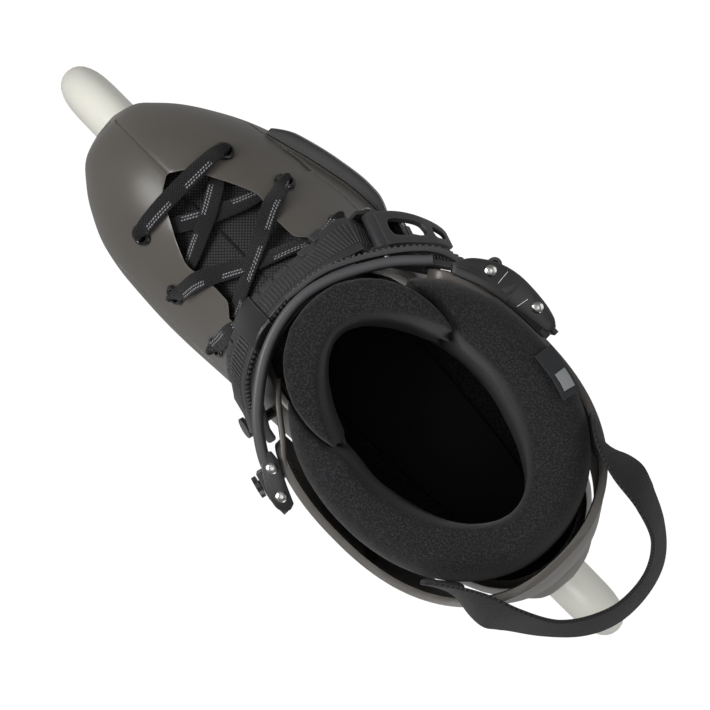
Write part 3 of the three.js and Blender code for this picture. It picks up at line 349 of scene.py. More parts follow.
def band(name, stops, width, low, high, steps, material, taper=None, corner=0.6):
    """Flat strap along a route, lying between two distances off its middle line.
    Its UV map runs along (u) and across (v) the strap, in metres."""
    frames = band_frames(stops, steps)
    rings, uvs, run = [], [], 0
    for i, (at, along, across, off) in enumerate(frames):
        if i:
            run += (at - frames[i - 1][0]).length
        half = width / 2 * (taper(i / steps) if taper else 1)
        section = rounded_strip(half, low, high, corner)
        rings.append([at + across * a + off * b for a, b in section])
        uvs += [(run * MM, a * MM) for a, b in section]
    return loft(name, rings, material, uvs)


def ride(obj, body, slot, *nodes):
    """Fastens a finished piece to a body and hides the nodes that it stands for; slot, its finish,
    is not used.
    """
    obj.name = "fine_" + obj.name.lower().replace(" ", "_")
    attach(obj, body)
    if nodes:
        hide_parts(*nodes)
    return obj


# ---- materials ------------------------------------------------------------------------
def srgb(colour):
    """Linear colour of a #rrggbb string; a linear colour only gains its alpha."""
    if not isinstance(colour, str):
        return (*colour, 1)
    parts = [int(colour[i:i + 2], 16) / 255 for i in (1, 3, 5)]
    return tuple(c / 12.92 if c <= 0.04045 else ((c + 0.055) / 1.055) ** 2.4 for c in parts) + (1,)


def darker(colour, share):
    """Linear colour at a share of its brightness."""
    return (*(c * share for c in srgb(colour)[:3]), 1)


def add_node(tree, kind, inputs=(), **settings):
    """Adds a node; an input value that is a socket is linked and any other value is set."""
    node = tree.nodes.new(kind)
    for key, value in settings.items():
        setattr(node, key, value)
    for key, value in dict(inputs).items():
        if isinstance(value, bpy.types.NodeSocket):
            tree.links.new(value, node.inputs[key])
        else:
            node.inputs[key].default_value = value
    return node


def shader_group(name, inputs, outputs):
    """Shader node group with named sockets, with its input and output nodes."""
    tree = bpy.data.node_groups.new(name, "ShaderNodeTree")
    for label, kind, value in inputs:
        socket = tree.interface.new_socket(label, in_out="INPUT", socket_type=kind)
        if value is not None:
            socket.default_value = value
    for label, kind in outputs:
        tree.interface.new_socket(label, in_out="OUTPUT", socket_type=kind)
    return tree, tree.nodes.new("NodeGroupInput"), tree.nodes.new("NodeGroupOutput")


def math_node(tree, operation, a, b=None):
    """Output of a maths node."""
    inputs = {0: a} if b is None else {0: a, 1: b}
    return add_node(tree, "ShaderNodeMath", inputs, operation=operation).outputs[0]


def grain_group():
    """Fine moulded grain over a slow unevenness, as a height and a mottle value."""
    tree, source, sink = shader_group(
        "Moulded Grain", [("Vector", "NodeSocketVector", None), ("Scale", "NodeSocketFloat", 2200)],
        [("Height", "NodeSocketFloat"), ("Mottle", "NodeSocketFloat")])
    fine = add_node(tree, "ShaderNodeTexNoise", {"Vector": source.outputs["Vector"],
                    "Scale": source.outputs["Scale"], "Detail": 2.0})
    slow = add_node(tree, "ShaderNodeTexNoise",
                    {"Vector": source.outputs["Vector"], "Scale": 34.0, "Detail": 3.0})
    tree.links.new(fine.outputs[0], sink.inputs["Height"])
    tree.links.new(slow.outputs[0], sink.inputs["Mottle"])
    return tree


def wear_group():
    """Mask that is high along rounded edges."""
    tree, source, sink = shader_group(
        "Edge Wear", [("Vector", "NodeSocketVector", None), ("Radius", "NodeSocketFloat", 0.0012)],
        [("Mask", "NodeSocketFloat")])
    bevel = add_node(tree, "ShaderNodeBevel", {"Radius": source.outputs["Radius"]}, samples=4)
    geometry = add_node(tree, "ShaderNodeNewGeometry")
    dot = add_node(tree, "ShaderNodeVectorMath",
                   {0: bevel.outputs[0], 1: geometry.outputs["Normal"]}, operation="DOT_PRODUCT")
    edge = add_node(tree, "ShaderNodeMapRange", {"Value": dot.outputs["Value"], "From Min": 0.995,
                    "From Max": 0.85})
    noise = add_node(tree, "ShaderNodeTexNoise", {"Vector": source.outputs["Vector"],
                     "Scale": 260.0, "Detail": 3.0})
    mask = math_node(tree, "MULTIPLY", edge.outputs[0], noise.outputs[0])
    tree.links.new(mask, sink.inputs["Mask"])
    return tree


def weave_group():
    """Plain weave over (u, v) in metres: a height and which way the upper thread runs."""
    tree, source, sink = shader_group(
        "Plain Weave", [("Vector", "NodeSocketVector", None), ("Threads", "NodeSocketFloat", 1400)],
        [("Height", "NodeSocketFloat"), ("Warp", "NodeSocketFloat")])
    split = add_node(tree, "ShaderNodeSeparateXYZ", {0: source.outputs["Vector"]})
    waves = []
    for axis in (0, 1):
        turn = math_node(tree, "MULTIPLY", split.outputs[axis], source.outputs["Threads"])
        waves.append(math_node(tree, "SINE", math_node(tree, "MULTIPLY", turn, math.pi)))
    product = math_node(tree, "MULTIPLY", waves[0], waves[1])
    warp = math_node(tree, "GREATER_THAN", product, 0.0)
    height = math_node(tree, "ABSOLUTE", product)
    tree.links.new(height, sink.inputs["Height"])
    tree.links.new(warp, sink.inputs["Warp"])
    return tree


GROUPS = {}


def make_groups():
    """Makes the node groups that the materials share."""
    GROUPS["grain"], GROUPS["wear"], GROUPS["weave"] = grain_group(), wear_group(), weave_group()


def use_group(tree, name, inputs):
    """Places a shared group in a material."""
    return add_node(tree, "ShaderNodeGroup", inputs, node_tree=GROUPS[name])


def start_material(name):
    """New material with only its output and a Principled shader."""
    material = bpy.data.materials.new(name)
    material.use_nodes = True
    tree = material.node_tree
    tree.nodes.clear()
    output = tree.nodes.new("ShaderNodeOutputMaterial")
    shader = tree.nodes.new("ShaderNodeBsdfPrincipled")
    tree.links.new(shader.outputs[0], output.inputs[0])
    return material, tree, shader


def plastic(name, colour, roughness=0.42, grain=2200, relief=0.04, wear=0.5, worn="#8a8884",
            specular=0.5):
    """Moulded plastic with grain, a slight mottle and paler edges."""
    material, tree, shader = start_material(name)
    place = add_node(tree, "ShaderNodeTexCoord").outputs["Object"]
    skin = use_group(tree, "grain", {"Vector": place, "Scale": grain})
    edge = use_group(tree, "wear", {"Vector": place})
    tint = add_node(tree, "ShaderNodeMix", {
        0: skin.outputs["Mottle"], 6: darker(colour, 0.8), 7: srgb(colour)}, data_type="RGBA")
    amount = math_node(tree, "MULTIPLY", edge.outputs["Mask"], wear)
    final = add_node(tree, "ShaderNodeMix", {0: amount, 6: tint.outputs[2], 7: srgb(worn)},
                     data_type="RGBA")
    tree.links.new(final.outputs[2], shader.inputs["Base Color"])
    rough = add_node(tree, "ShaderNodeMapRange", {"Value": skin.outputs["Mottle"],
                     "To Min": roughness - 0.06, "To Max": roughness + 0.08})
    tree.links.new(rough.outputs[0], shader.inputs["Roughness"])
    bump = add_node(tree, "ShaderNodeBump", {"Strength": relief * 10, "Distance": 0.00005,
                    "Height": skin.outputs["Height"]})
    tree.links.new(bump.outputs[0], shader.inputs["Normal"])
    shader.inputs["Specular IOR Level"].default_value = specular
    return material


def metal(name, colour, roughness):
    """Machined metal with a faint brushed unevenness."""
    material, tree, shader = start_material(name)
    place = add_node(tree, "ShaderNodeTexCoord").outputs["Object"]
    skin = use_group(tree, "grain", {"Vector": place, "Scale": 900.0})
    rough = add_node(tree, "ShaderNodeMapRange", {"Value": skin.outputs["Mottle"],
                     "To Min": roughness - 0.08, "To Max": roughness + 0.1})
    tree.links.new(rough.outputs[0], shader.inputs["Roughness"])
    shader.inputs["Base Color"].default_value = srgb(colour)
    shader.inputs["Metallic"].default_value = 1.0
    bump = add_node(tree, "ShaderNodeBump", {"Strength": 0.15, "Distance": 0.00004,
                    "Height": skin.outputs["Height"]})
    tree.links.new(bump.outputs[0], shader.inputs["Normal"])
    return material


def fabric(name, colour, pale, threads=1400, use_uv=False, fleck=None, relief=0.6, speckle=None):
    """Woven cloth; speckle scatters paler fibres over it, and fleck adds two rows of pale
    flecks along a strap, by its UV map."""
    material, tree, shader = start_material(name)
    coords = add_node(tree, "ShaderNodeTexCoord")
    place = coords.outputs["UV" if use_uv else "Object"]
    weave = use_group(tree, "weave", {"Vector": place, "Threads": float(threads)})
    tint = add_node(tree, "ShaderNodeMix", {0: weave.outputs["Warp"], 6: srgb(colour),
                    7: srgb(pale)}, data_type="RGBA")
    base = tint.outputs[2]
    if speckle:
        fibre = use_group(tree, "grain", {"Vector": coords.outputs["Object"], "Scale": 1300.0})
        mask = add_node(tree, "ShaderNodeMapRange", {"Value": fibre.outputs["Height"],
                        "From Min": 0.45, "From Max": 0.68})
        base = add_node(tree, "ShaderNodeMix", {0: mask.outputs[0], 6: base, 7: srgb(speckle)},
                        data_type="RGBA").outputs[2]
    if fleck:
        split = add_node(tree, "ShaderNodeSeparateXYZ", {0: place})
        off_row = math_node(tree, "ABSOLUTE", math_node(tree, "SUBTRACT", split.outputs[1], 0.0021))
        rows = math_node(tree, "ABSOLUTE", math_node(tree, "SUBTRACT", off_row, 0.0007))
        in_row = math_node(tree, "LESS_THAN", rows, 0.00034)
        slant = math_node(tree, "MULTIPLY", split.outputs[1], 0.55)
        along = math_node(tree, "ADD", split.outputs[0], slant)
        run = math_node(tree, "FRACT", math_node(tree, "MULTIPLY", along, 640.0))
        dash = math_node(tree, "LESS_THAN", run, 0.6)
        burst = math_node(tree, "FRACT", math_node(tree, "MULTIPLY", split.outputs[0], 38.0))
        shown = math_node(tree, "LESS_THAN", burst, 0.62)
        mask = math_node(tree, "MULTIPLY", math_node(tree, "MULTIPLY", in_row, dash), shown)
        marked = add_node(tree, "ShaderNodeMix", {0: mask, 6: base, 7: srgb(fleck)},
                          data_type="RGBA")
        base = marked.outputs[2]
    tree.links.new(base, shader.inputs["Base Color"])
    shader.inputs["Roughness"].default_value = 0.88
    shader.inputs["Specular IOR Level"].default_value = 0.2
    shader.inputs["Sheen Weight"].default_value = 0.1
    shader.inputs["Sheen Roughness"].default_value = 0.5
    bump = add_node(tree, "ShaderNodeBump", {"Strength": relief, "Distance": 0.0003,
                    "Height": weave.outputs["Height"]})
    tree.links.new(bump.outputs[0], shader.inputs["Normal"])
    return material


def urethane(name, colour):
    """Cast urethane: pale, slightly glossy, with a little light inside."""
    material, tree, shader = start_material(name)
    place = add_node(tree, "ShaderNodeTexCoord").outputs["Object"]
    skin = use_group(tree, "grain", {"Vector": place, "Scale": 700.0})
    tint = add_node(tree, "ShaderNodeMix", {
        0: skin.outputs["Mottle"], 6: darker(colour, 0.9), 7: srgb(colour)}, data_type="RGBA")
    tree.links.new(tint.outputs[2], shader.inputs["Base Color"])
    shader.inputs["Roughness"].default_value = 0.34
    shader.inputs["Subsurface Weight"].default_value = 0.15
    shader.inputs["Subsurface Radius"].default_value = (0.004, 0.003, 0.002)
    shader.inputs["Subsurface Scale"].default_value = 0.5
    return material


MATERIALS = {}


def make_materials(settings):
    """Makes every material from the panel's colours."""
    make_groups()
    MATERIALS.update(
        shell=plastic("Shell Plastic", settings.shell, 0.36, wear=0.3),
        black=plastic("Black Plastic", settings.black, 0.3, wear=0.3),
        gloss=plastic("Gloss Black", "#0c0c0d", 0.16, relief=0.01, wear=0.1),
        strap=plastic("Strap Plastic", settings.strap, 0.45, wear=0.35),
        pale_strap=plastic("Pale Strap Plastic", settings.pale_strap, 0.45, wear=0.3),
        hub=plastic("Hub Plastic", settings.hub, 0.4),
        steel=metal("Steel", "#b4b4b2", 0.22),
        frame=metal("Frame Aluminium", "#3c3c3e", 0.38),
        tyre=urethane("Wheel Urethane", settings.tyre),
        fabric=fabric("Liner Knit", "#0e0e0f", "#1a1a1b", 2600, relief=0.4, speckle="#2e2e30"),
        mesh=fabric("Tongue Mesh", "#151516", "#3a3a3c", 1050, relief=0.9),
        piping=fabric("Piping", "#101011", "#19191a", 1500),
        lace=fabric("Lace", "#0f0f10", "#242426", 1300, True, "#8a8b8e", 0.9),
        webbing=fabric("Webbing", "#161617", "#29292b", 1100, True),
        label=fabric("Label", "#242527", "#303133", 2200, True),
        mark=fabric("Label Mark", "#8d8f92", "#9c9ea1", 2200),
        foam=plastic("Foam", "#232324", 0.9, 900, 0.2, 0, specular=0.15),
    )


def paint(nodes, key, bevel=0.0):
    """Gives CAD nodes a material, and rounds their edges if asked."""
    for name in nodes:
        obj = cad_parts[name]
        for slot in obj.material_slots:
            slot.material = MATERIALS[key]
        if not obj.material_slots:
            obj.data.materials.append(MATERIALS[key])
        if bevel:
            modifier = obj.modifiers.new("Round", "BEVEL")
            modifier.width, modifier.segments = bevel * MM, 3
            modifier.limit_method, modifier.angle_limit = "ANGLE", math.radians(38)
            modifier.harden_normals = True


# ---- wheels and frame -----------------------------------------------------------------
AXLES = {"front": 135, "middle": 0, "rear": -135}
WHEEL_Z = 62.5


def build_wheel(place, x):
    """Tyre and spoked hub of one wheel; its bearings, spacer and axle keep their CAD shape."""
    at = Vector((x, 0, WHEEL_Z))
    right = [(1.0, 62.45), (3.6, 61.9), (6, 60.5), (8.2, 58.2), (9.8, 55.2), (11, 51.6),
             (11.7, 47.5), (12, 43), (12, 38.6), (11.4, 36.2), (9.8, 34), (8.4, 32.6), (7.4, 32.3)]
    section = [(-w, r) for w, r in right] + [(w, r) for w, r in reversed(right)]
    tyre = turned_ring(f"Tyre {place}", at, (0, 1, 0), section, 128, MATERIALS["tyre"])
    ride(tyre, f"wheel_{place}", "wheel_urethane", f"tyre_{place}")

    rim = turned_ring("Rim", at, (0, 1, 0), [
        (-8.8, 28.6), (-8.9, 31.4), (-8.2, 32), (8.2, 32), (8.9, 31.4), (8.8, 28.6), (7.6, 28),
        (-7.6, 28)], 96, MATERIALS["hub"])
    barrel = turned_ring("Barrel", at, (0, 1, 0), [
        (-12.1, 11.3), (-12.1, 15), (-11.6, 15.5), (11.6, 15.5), (12.1, 15), (12.1, 11.3),
        (4.8, 11.3), (4.8, 9), (-4.8, 9), (-4.8, 11.3)], 72, MATERIALS["hub"])
    spokes = []
    for k in range(5):
        a = 2 * math.pi * k / 5
        along = Vector((math.cos(a), 0, -math.sin(a)))
        across = Vector((math.sin(a), 0, math.cos(a)))
        rings = []
        for radius, wide, deep in ((13, 6.6, 5), (17, 5, 4.4), (22, 4.2, 3.8), (26, 4.8, 4.2),
                                   (29, 7, 5)):
            centre = at + along * radius
            depth = Vector((0, deep, 0))
            rings.append([centre + across * (wide * math.cos(t)) + depth * math.sin(t)
                          for t in (2 * math.pi * i / 20 for i in range(20))])
        spokes.append(loft("Spoke", rings, MATERIALS["hub"]))
    carve(rim, barrel, *spokes, operation="UNION")
    rim.name = f"Hub {place}"
    smooth(rim)
    ride(rim, f"wheel_{place}", "hub_plastic", f"hub_{place}")


def bearing_shield(place, x, side):
    """Dark seal ring on the outer face of a bearing."""
    at = Vector((x, 0, WHEEL_Z))
    face = 12.1
    ring = turned_ring(f"Bearing Shield {place} {side}", at, (0, side, 0), [
        (face - 0.05, 6.2), (face + 0.12, 6.4), (face + 0.12, 9.2), (face - 0.05, 9.4)], 48,
        MATERIALS["black"])
    ride(ring, f"wheel_{place}", "black_plastic")


# ---- shell ----------------------------------------------------------------------------
throat_half = profile([(46, 26), (53, 21), (64, 20.8), (77, 23), (86, 20), (98, 14), (109, 8),
                       (114, 0.8)])
THROAT_START, THROAT_END = 46, 114
EYELETS = {
    "front_inside": (103, 28), "front_outside": (103.5, -26), "middle_inside": (72.5, 36.5),
    "middle_outside": (73.5, -36), "rear_inside": (41.5, 40), "rear_outside": (42.5, -40.5)}
STRAP_BOLTS = {
    "instep": (Vector((3.5, 48.6, 225)), Vector((0.25, 0.93, 0.25)).normalized()),
    "cuff": (Vector((-19, 59.6, 296)), Vector((0.25, 1, 0)).normalized())}


def throat_outline():
    """Plan of the throat, rounded where it ends over the toes."""
    points = []
    for i in range(61):
        x = THROAT_START - 12 + (THROAT_END - THROAT_START + 12) * i / 60
        points.append((x, throat_half(max(x, THROAT_START))))
    return points + [(x, -y) for x, y in reversed(points)]


def collar_edge():
    """Top edge of the shell from the side, eased between its corners."""
    stops = [(-170, 234), (-137, 235), (-112, 240), (-92, 252), (-60, 256), (-20, 256), (8, 250),
             (30, 243), (THROAT_START, top_of_boot(THROAT_START, throat_half(THROAT_START)))]
    curve = profile(stops)
    return [(x, curve(x)) for x in np.linspace(-170, THROAT_START, 80)]


def hole(at, axis, radius, near, far, sides=24):
    """Round tool for boring through a wall."""
    direction = Vector(axis).normalized()
    return turned("Bore", at, direction, [(near, radius), (far, radius)], sides, None)


def pivot_bores():
    """Tools that bore both sides for the cuff's hinge bolts."""
    return [hole((PIVOT_X, 0, PIVOT_Z), (0, side, 0), PIVOT_BORE, 25, 90) for side in (1, -1)]


def cord_along(name, points, radius, material=None, sides=10, steps=None):
    """Round cord through points, closed at both ends."""
    route = [Vector(p) for p in spline(points, steps or 4 * len(points))]
    rings = []
    for i, at in enumerate(route):
        along = (route[min(i + 1, len(route) - 1)] - route[max(i - 1, 0)]).normalized()
        rings.append(circle(at, along, radius, sides))
    for i in range(1, len(rings)):
        first = min(range(sides), key=lambda k: (rings[i][k] - rings[i - 1][0]).length)
        rings[i] = rings[i][first:] + rings[i][:first]
    return loft(name, rings, material)


def on_boot(x, y, lift=0.0):
    """Point lifted off the boot's outer surface above (x, y)."""
    return Vector((x, y, top_of_boot(x, y))) + normal_of_boot(x, y) * lift


def on_side(x, z, side, lift=0.0):
    """Point lifted sideways off the boot's wall at a height."""
    return Vector((x, side_of_boot(x, z, side) + side * lift, z))


def build_shell():
    """Moulded shell with its throat, collar, creases and vents."""
    shell = loft("Shell", boot_rings(0, 0, 110, 96), MATERIALS["shell"])
    room = loft("Room", boot_rings(3, 6, 80, 64), None)
    edge = collar_edge()
    opening = side_prism("Opening", edge + [(THROAT_START, 400), (-170, 400)], -100, 100)
    throat = plan_prism("Throat", throat_outline(), 175, 400)
    tools = [room, opening, throat]
    tools += pivot_bores()
    for x, y in EYELETS.values():
        tools.append(hole(on_boot(x, y), normal_of_boot(x, y), 4.4, -9, 6))
    for x in MOUNT_BOLTS_X:
        tools.append(hole((x, 0, sole_z(x)), (0, 0, 1), MOUNT_BORE, -5, 5))
    for z in (196, 203):
        tools.append(block("Vent", (-170, -130), (-15, 10), (z, z + 3)))
    tools.append(hole(*STRAP_BOLTS["instep"], STRAP_BORE, *THROUGH_STRAP))
    carve(shell, *tools)
    crease = cord_along("Crease", [on_boot(x, -0.6, 0.15) for x in range(112, 155, 4)], 0.75)
    lip = [(x, 1) for x in np.linspace(118, 153, 10)] + [(x, -1) for x in np.linspace(152, 112, 12)]
    line = [on_side(x, sole_z(x) + 22, side, 0.25) for x, side in lip]
    grooves = [crease, cord_along("Lip", line, 0.7, steps=90)]
    grooves.append(cord_along("Flank", [on_side(x, z, -1, 0.2) for x, z in (
        (24, 196), (34, 178), (52, 172), (76, 171), (98, 170), (108, 163))], 0.8, steps=60))
    grooves.append(cord_along("Flank Inside", [on_side(x, z, 1, 0.2) for x, z in (
        (20, 190), (40, 172), (70, 168), (100, 166), (114, 160))], 0.8, steps=60))
    grooves.append(cord_along("Recess", [on_boot(x, y, -0.2) for x, y in (
        (93, -46.4), (86, -47.8), (78, -48.6), (70, -48.6))], 1.7, steps=40))
    grooves.append(cord_along("Recess Line", [on_boot(x, y, 0.2) for x, y in (
        (71, -48.6), (60, -50.4), (50, -51.4), (41, -51))], 0.6, steps=50))
    carve(shell, *grooves)
    soften(shell, 0.7, 2, 50)
    ride(shell, "boot", "shell_plastic", "shell")


def build_eyelet(place):
    """Domed eyelet pressed into the shell."""
    x, y = EYELETS[place]
    dome = [(0.55 + 1.35 * math.sin(t), 4 + 1.2 * math.cos(t)) for t in
            (math.pi * k / 10 for k in range(11))]
    ring = turned_ring(f"Eyelet {place}", on_boot(x, y), normal_of_boot(x, y), [
        (-3, 2.8), (-3, 3.8), (0.5, 3.8), *dome], 48, MATERIALS["gloss"])
    ride(ring, "boot", "black_plastic", f"eyelet_{place}")


# ---- lace -----------------------------------------------------------------------------
UNDER, OVER, THROUGH = -4.8, 2.2, 3.3  # the lace's height off the shell's outer face
GATHERED = 0.52                      # share of its width that the lace keeps in an eyelet
LACE_THICK = 1.24
# Stops are (x, y, height, share of width) or (eyelet, 1 above or -1 below the shell).
LACE_STOPS = [
    (27, 10, -3.2, 0.9), (34, 16, -2.4, 1), (39.5, 27.5, 3, 1), (40.6, 35, 2.8, 0.9),
    ("rear_inside", 1),
    ("rear_inside", -1), (45.5, 32, UNDER, 0.7), (51, 20, UNDER + 0.3, 1),
    (58, 2, UNDER + 1.9, 1), (65, -14, UNDER + 3.4, 1), (68.5, -23, OVER + 0.9, 1),
    (71, -30.5, OVER + 1.4, 0.85), ("middle_outside", 1), ("middle_outside", -1),
    (78, -28, UNDER, 0.7), (82, -17, UNDER, 1), (88.5, 0, UNDER + 0.2, 1), (95, 14, UNDER, 0.9),
    (100.5, 23, UNDER, 0.6), ("front_inside", -1), ("front_inside", 1), (104, 22, OVER + 1.3, 0.85),
    (104.6, 11, OVER + 0.2, 1), (104.8, -10, OVER + 0.2, 1), (104.5, -20.5, OVER + 1.3, 0.85),
    ("front_outside", 1), ("front_outside", -1), (100.5, -22, UNDER, 0.6),
    (96, -14, UNDER + 0.1, 0.9), (88, 0.5, UNDER + 1.9, 1), (82, 17, UNDER, 1),
    (77, 28, UNDER, 0.7), ("middle_inside", -1), ("middle_inside", 1), (70, 31, OVER + 1.4, 0.85),
    (68, 23, OVER + 0.9, 1), (64, 14, UNDER + 3.4, 1), (58, -1.5, UNDER + 0.2, 1),
    (51, -20, UNDER + 0.3, 1), (46, -33, UNDER, 0.7), ("rear_outside", -1), ("rear_outside", 1),
    (41, -35, 2.8, 0.9), (40, -27.5, 3, 1), (34, -16, -2.4, 1), (27, -10, -3.2, 0.9)]


def centripetal(points, faces, shares, per_span):
    """Centripetal curve through the stops, as (place, way off its face, share) steps."""
    p = [2 * points[0] - points[1], *points, 2 * points[-1] - points[-2]]
    steps = []
    for k in range(len(points) - 1):
        p0, p1, p2, p3 = p[k:k + 4]
        t = [0.0]
        for a, b in ((p0, p1), (p1, p2), (p2, p3)):
            t.append(t[-1] + max((b - a).length, 1e-4) ** 0.5)
        last = k == len(points) - 2
        for i in range(per_span + (1 if last else 0)):
            share = i / per_span
            u = t[1] + (t[2] - t[1]) * share
            a1 = p0 * ((t[1] - u) / (t[1] - t[0])) + p1 * ((u - t[0]) / (t[1] - t[0]))
            a2 = p1 * ((t[2] - u) / (t[2] - t[1])) + p2 * ((u - t[1]) / (t[2] - t[1]))
            a3 = p2 * ((t[3] - u) / (t[3] - t[2])) + p3 * ((u - t[2]) / (t[3] - t[2]))
            b1 = a1 * ((t[2] - u) / (t[2] - t[0])) + a2 * ((u - t[0]) / (t[2] - t[0]))
            b2 = a2 * ((t[3] - u) / (t[3] - t[1])) + a3 * ((u - t[1]) / (t[3] - t[1]))
            at = b1 * ((t[2] - u) / (t[2] - t[1])) + b2 * ((u - t[1]) / (t[2] - t[1]))
            steps.append((at, faces[k].lerp(faces[k + 1], share),
                          shares[k] * (1 - share) + shares[k + 1] * share))
    return steps


def build_lace(width):
    """Flat woven lace through its six eyelets."""
    points, faces, shares = [], [], []
    for stop in LACE_STOPS:
        if isinstance(stop[0], str):
            x, y = EYELETS[stop[0]]
            lift, share = (THROUGH if stop[1] > 0 else UNDER), GATHERED
            face = Vector((-1, 0, 0.5)).normalized()
        else:
            x, y, lift, share = stop
            face = normal_of_boot(x, y)
        points.append(on_boot(x, y, lift))
        faces.append(face)
        shares.append(share)
    steps = centripetal(points, faces, shares, 9)
    rings, uvs, run = [], [], 0
    for i, (at, face, share) in enumerate(steps):
        ahead, behind = steps[min(i + 1, len(steps) - 1)][0], steps[max(i - 1, 0)][0]
        along = (ahead - behind).normalized()
        across = along.cross(face).normalized()
        off = across.cross(along).normalized()
        run += (at - steps[i - 1][0]).length if i else 0
        half = width / 2 * share
        section = rounded_strip(half, -LACE_THICK / 2, LACE_THICK / 2, 0.6)
        cupped = [(a, b + 1.6 * max(0, 1 - share) * math.cos(a / half * math.pi / 2))
                  for a, b in section]
        rings.append([at + across * a + off * b for a, b in cupped])
        uvs += [(run * MM, a * MM) for a, b in section]
    lace = loft("Lace", rings, MATERIALS["lace"], uvs)
    ride(lace, "boot", "lace_fabric", "lace")


# ---- liner, tongue and footbed --------------------------------------------------------
# Levels of the upright forms: height, rear, front, inside and outside.
SHAFT_LEVELS = [(212, -120, 10, 31, -37), (240, -121, 8, 31.5, -37.5), (257, -122, 8, 33, -39),
                (268, -125.5, 9, 42, -49), (285, -125.5, 12, 47, -57), (305, -123.5, 14, 50.5, -62),
                (325, -120.5, 14, 51.5, -64), (333, -117, 11, 48, -60), (337, -110, 4, 41, -52)]
MOUTH_LEVELS = [(205, -109, 2, 27, -31), (262, -107, 4, 28, -35), (305, -102, 6, 29.5, -38.5),
                (330, -100, 6.4, 31, -40), (345, -104, 8, 35, -44)]
TONGUE_LEVELS = [(262, -56, 29, 29, -34), (285, -56, 24, 30, -37), (305, -55, 22, 31, -40),
                 (330, -55, 22.5, 32, -41), (343, -55, 24, 32.5, -41.5)]
CUFF_LEVELS = [(190, -147, 12, 51.5, -56), (215, -145.5, 11, 51, -55.8),
               (240, -142, 12, 52, -57.5), (270, -137.5, 16, 55.5, -61.5),
               (305, -131.5, 21.5, 59, -66), (340, -129.5, 24, 60, -67)]
SPLIT_ANGLE = 18                     # slope of the liner's split in front of the hinge
SPLIT_OPENING, SPLIT_BACK = 12, 4.5  # room above the split for the cuff to lean, in degrees


def tan(degrees):
    """Tangent of an angle in degrees."""
    return math.tan(math.radians(degrees))


def below_split(lift):
    """Side outline of everything under the plane where the liner splits for the cuff."""
    rise_front = 130 * tan(SPLIT_ANGLE + lift * SPLIT_OPENING)
    rise_back = 130 * tan(lift * SPLIT_BACK)
    return [(PIVOT_X - 130, 0), (PIVOT_X - 130, PIVOT_Z + rise_back), (PIVOT_X, PIVOT_Z),
            (PIVOT_X + 130, PIVOT_Z + rise_front), (PIVOT_X + 260, PIVOT_Z + rise_front),
            (PIVOT_X + 260, 0)]


def tower(name, levels, power, points, grow=0.0, steps=48, material=None):
    """Upright loft of rounded ovals, eased smoothly between its levels."""
    curves = [profile([(level[0], level[i]) for level in levels]) for i in range(1, 5)]
    rings = []
    for z in np.linspace(levels[0][0], levels[-1][0], steps):
        rear, front, inside, outside = (curve(z) for curve in curves)
        cx, cy = (rear + front) / 2, (inside + outside) / 2
        a, b = (front - rear) / 2 + grow, (inside - outside) / 2 + grow
        rings.append([Vector((cx + a * signed_power(math.cos(t), 2 / power),
                              cy + b * signed_power(math.sin(t), 2 / power), z))
                      for t in (2 * math.pi * i / points for i in range(points))])
    return loft(name, rings, material)


tongue_half = profile([(24, 34), (50, 43), (78, 42), (104, 33), (118, 14)])


def tongue_plan(grow):
    """Plan of the tongue inside the shell."""
    points = [(x, tongue_half(x) + grow) for x in np.linspace(8, 119 + grow, 40)]
    return points + [(x, -y) for x, y in reversed(points)]


def build_liner_boot():
    """Liner inside the shell."""
    outer = loft("Liner Lower", boot_rings(4.8, 10.5, 70, 64), MATERIALS["fabric"])
    cavity = loft("Cavity", boot_rings(10.8, 13.5, 60, 56), None)
    slot = plan_prism("Slot", tongue_plan(0.8), 160, 400)
    below = side_prism("Below", below_split(0), -90, 90)
    carve(outer, cavity, slot)
    carve(outer, below, operation="INTERSECT")
    soften(outer, 1.2, 2, 40)
    ride(outer, "boot", "liner_fabric", "liner_boot")


def build_tongue_lower():
    """Padded tongue seen through the throat, with a raised seam along its middle."""
    skin = loft("Tongue Lower", boot_rings(8.4, 10.5, 80, 72), MATERIALS["mesh"])
    hollow = loft("Hollow", boot_rings(13.4, 10.5, 70, 64), None)
    plan = plan_prism("Plan", tongue_plan(0), 172, 400)
    below = side_prism("Below", below_split(0), -90, 90)
    carve(skin, hollow)
    carve(skin, plan, operation="INTERSECT")
    carve(skin, below, operation="INTERSECT")
    soften(skin, 1.4, 3, 40)
    ride(skin, "boot", "liner_fabric", "tongue_lower")
    seam = [on_boot(x, 2.4, -8.3) for x in range(34, 114, 6)]
    ribs = cord_along("Tongue Seam", seam, 0.7, MATERIALS["piping"])
    ride(ribs, "boot", "liner_fabric")


def build_footbed():
    """Footbed and the heel pad beneath it."""
    for name, lift, thick, inset, (x0, x1), node in (
            ("Heel Pad", 6.6, 3.2, 20, (-132, -52), "heel_shock_pad"),
            ("Footbed", 14.9, 2.4, 25, (-128, 121), "footbed")):
        rings = []
        for i in range(61):
            x = x0 + (x1 - x0) * i / 60
            z = sole_z(x) + lift
            end = math.sqrt(max(0.02, 1 - abs(i / 30 - 1) ** 8))
            inside, outside = (inside_line(x) - inset) * end, (outside_line(x) + inset) * end
            rings.append([Vector((x, outside, z)), Vector((x, inside, z)),
                          Vector((x, inside, z + thick)), Vector((x, outside, z + thick))])
        plate = loft(name, rings, MATERIALS["foam"])
        soften(plate, 0.8, 2, 60)
        ride(plate, "boot", "foam", node)


def nut_rooms():
    """Room that the cuff's hidden nuts need in the liner."""
    rooms = []
    for side in (1, -1):
        seat = side_of_boot(PIVOT_X, PIVOT_Z, side) - side * 4.8
        rooms.append(turned("Nut Room", (PIVOT_X, seat - side * 3.2, PIVOT_Z), (0, side, 0),
                            [(0, 9.5), (90, 9.5)], 32, None))
    return rooms


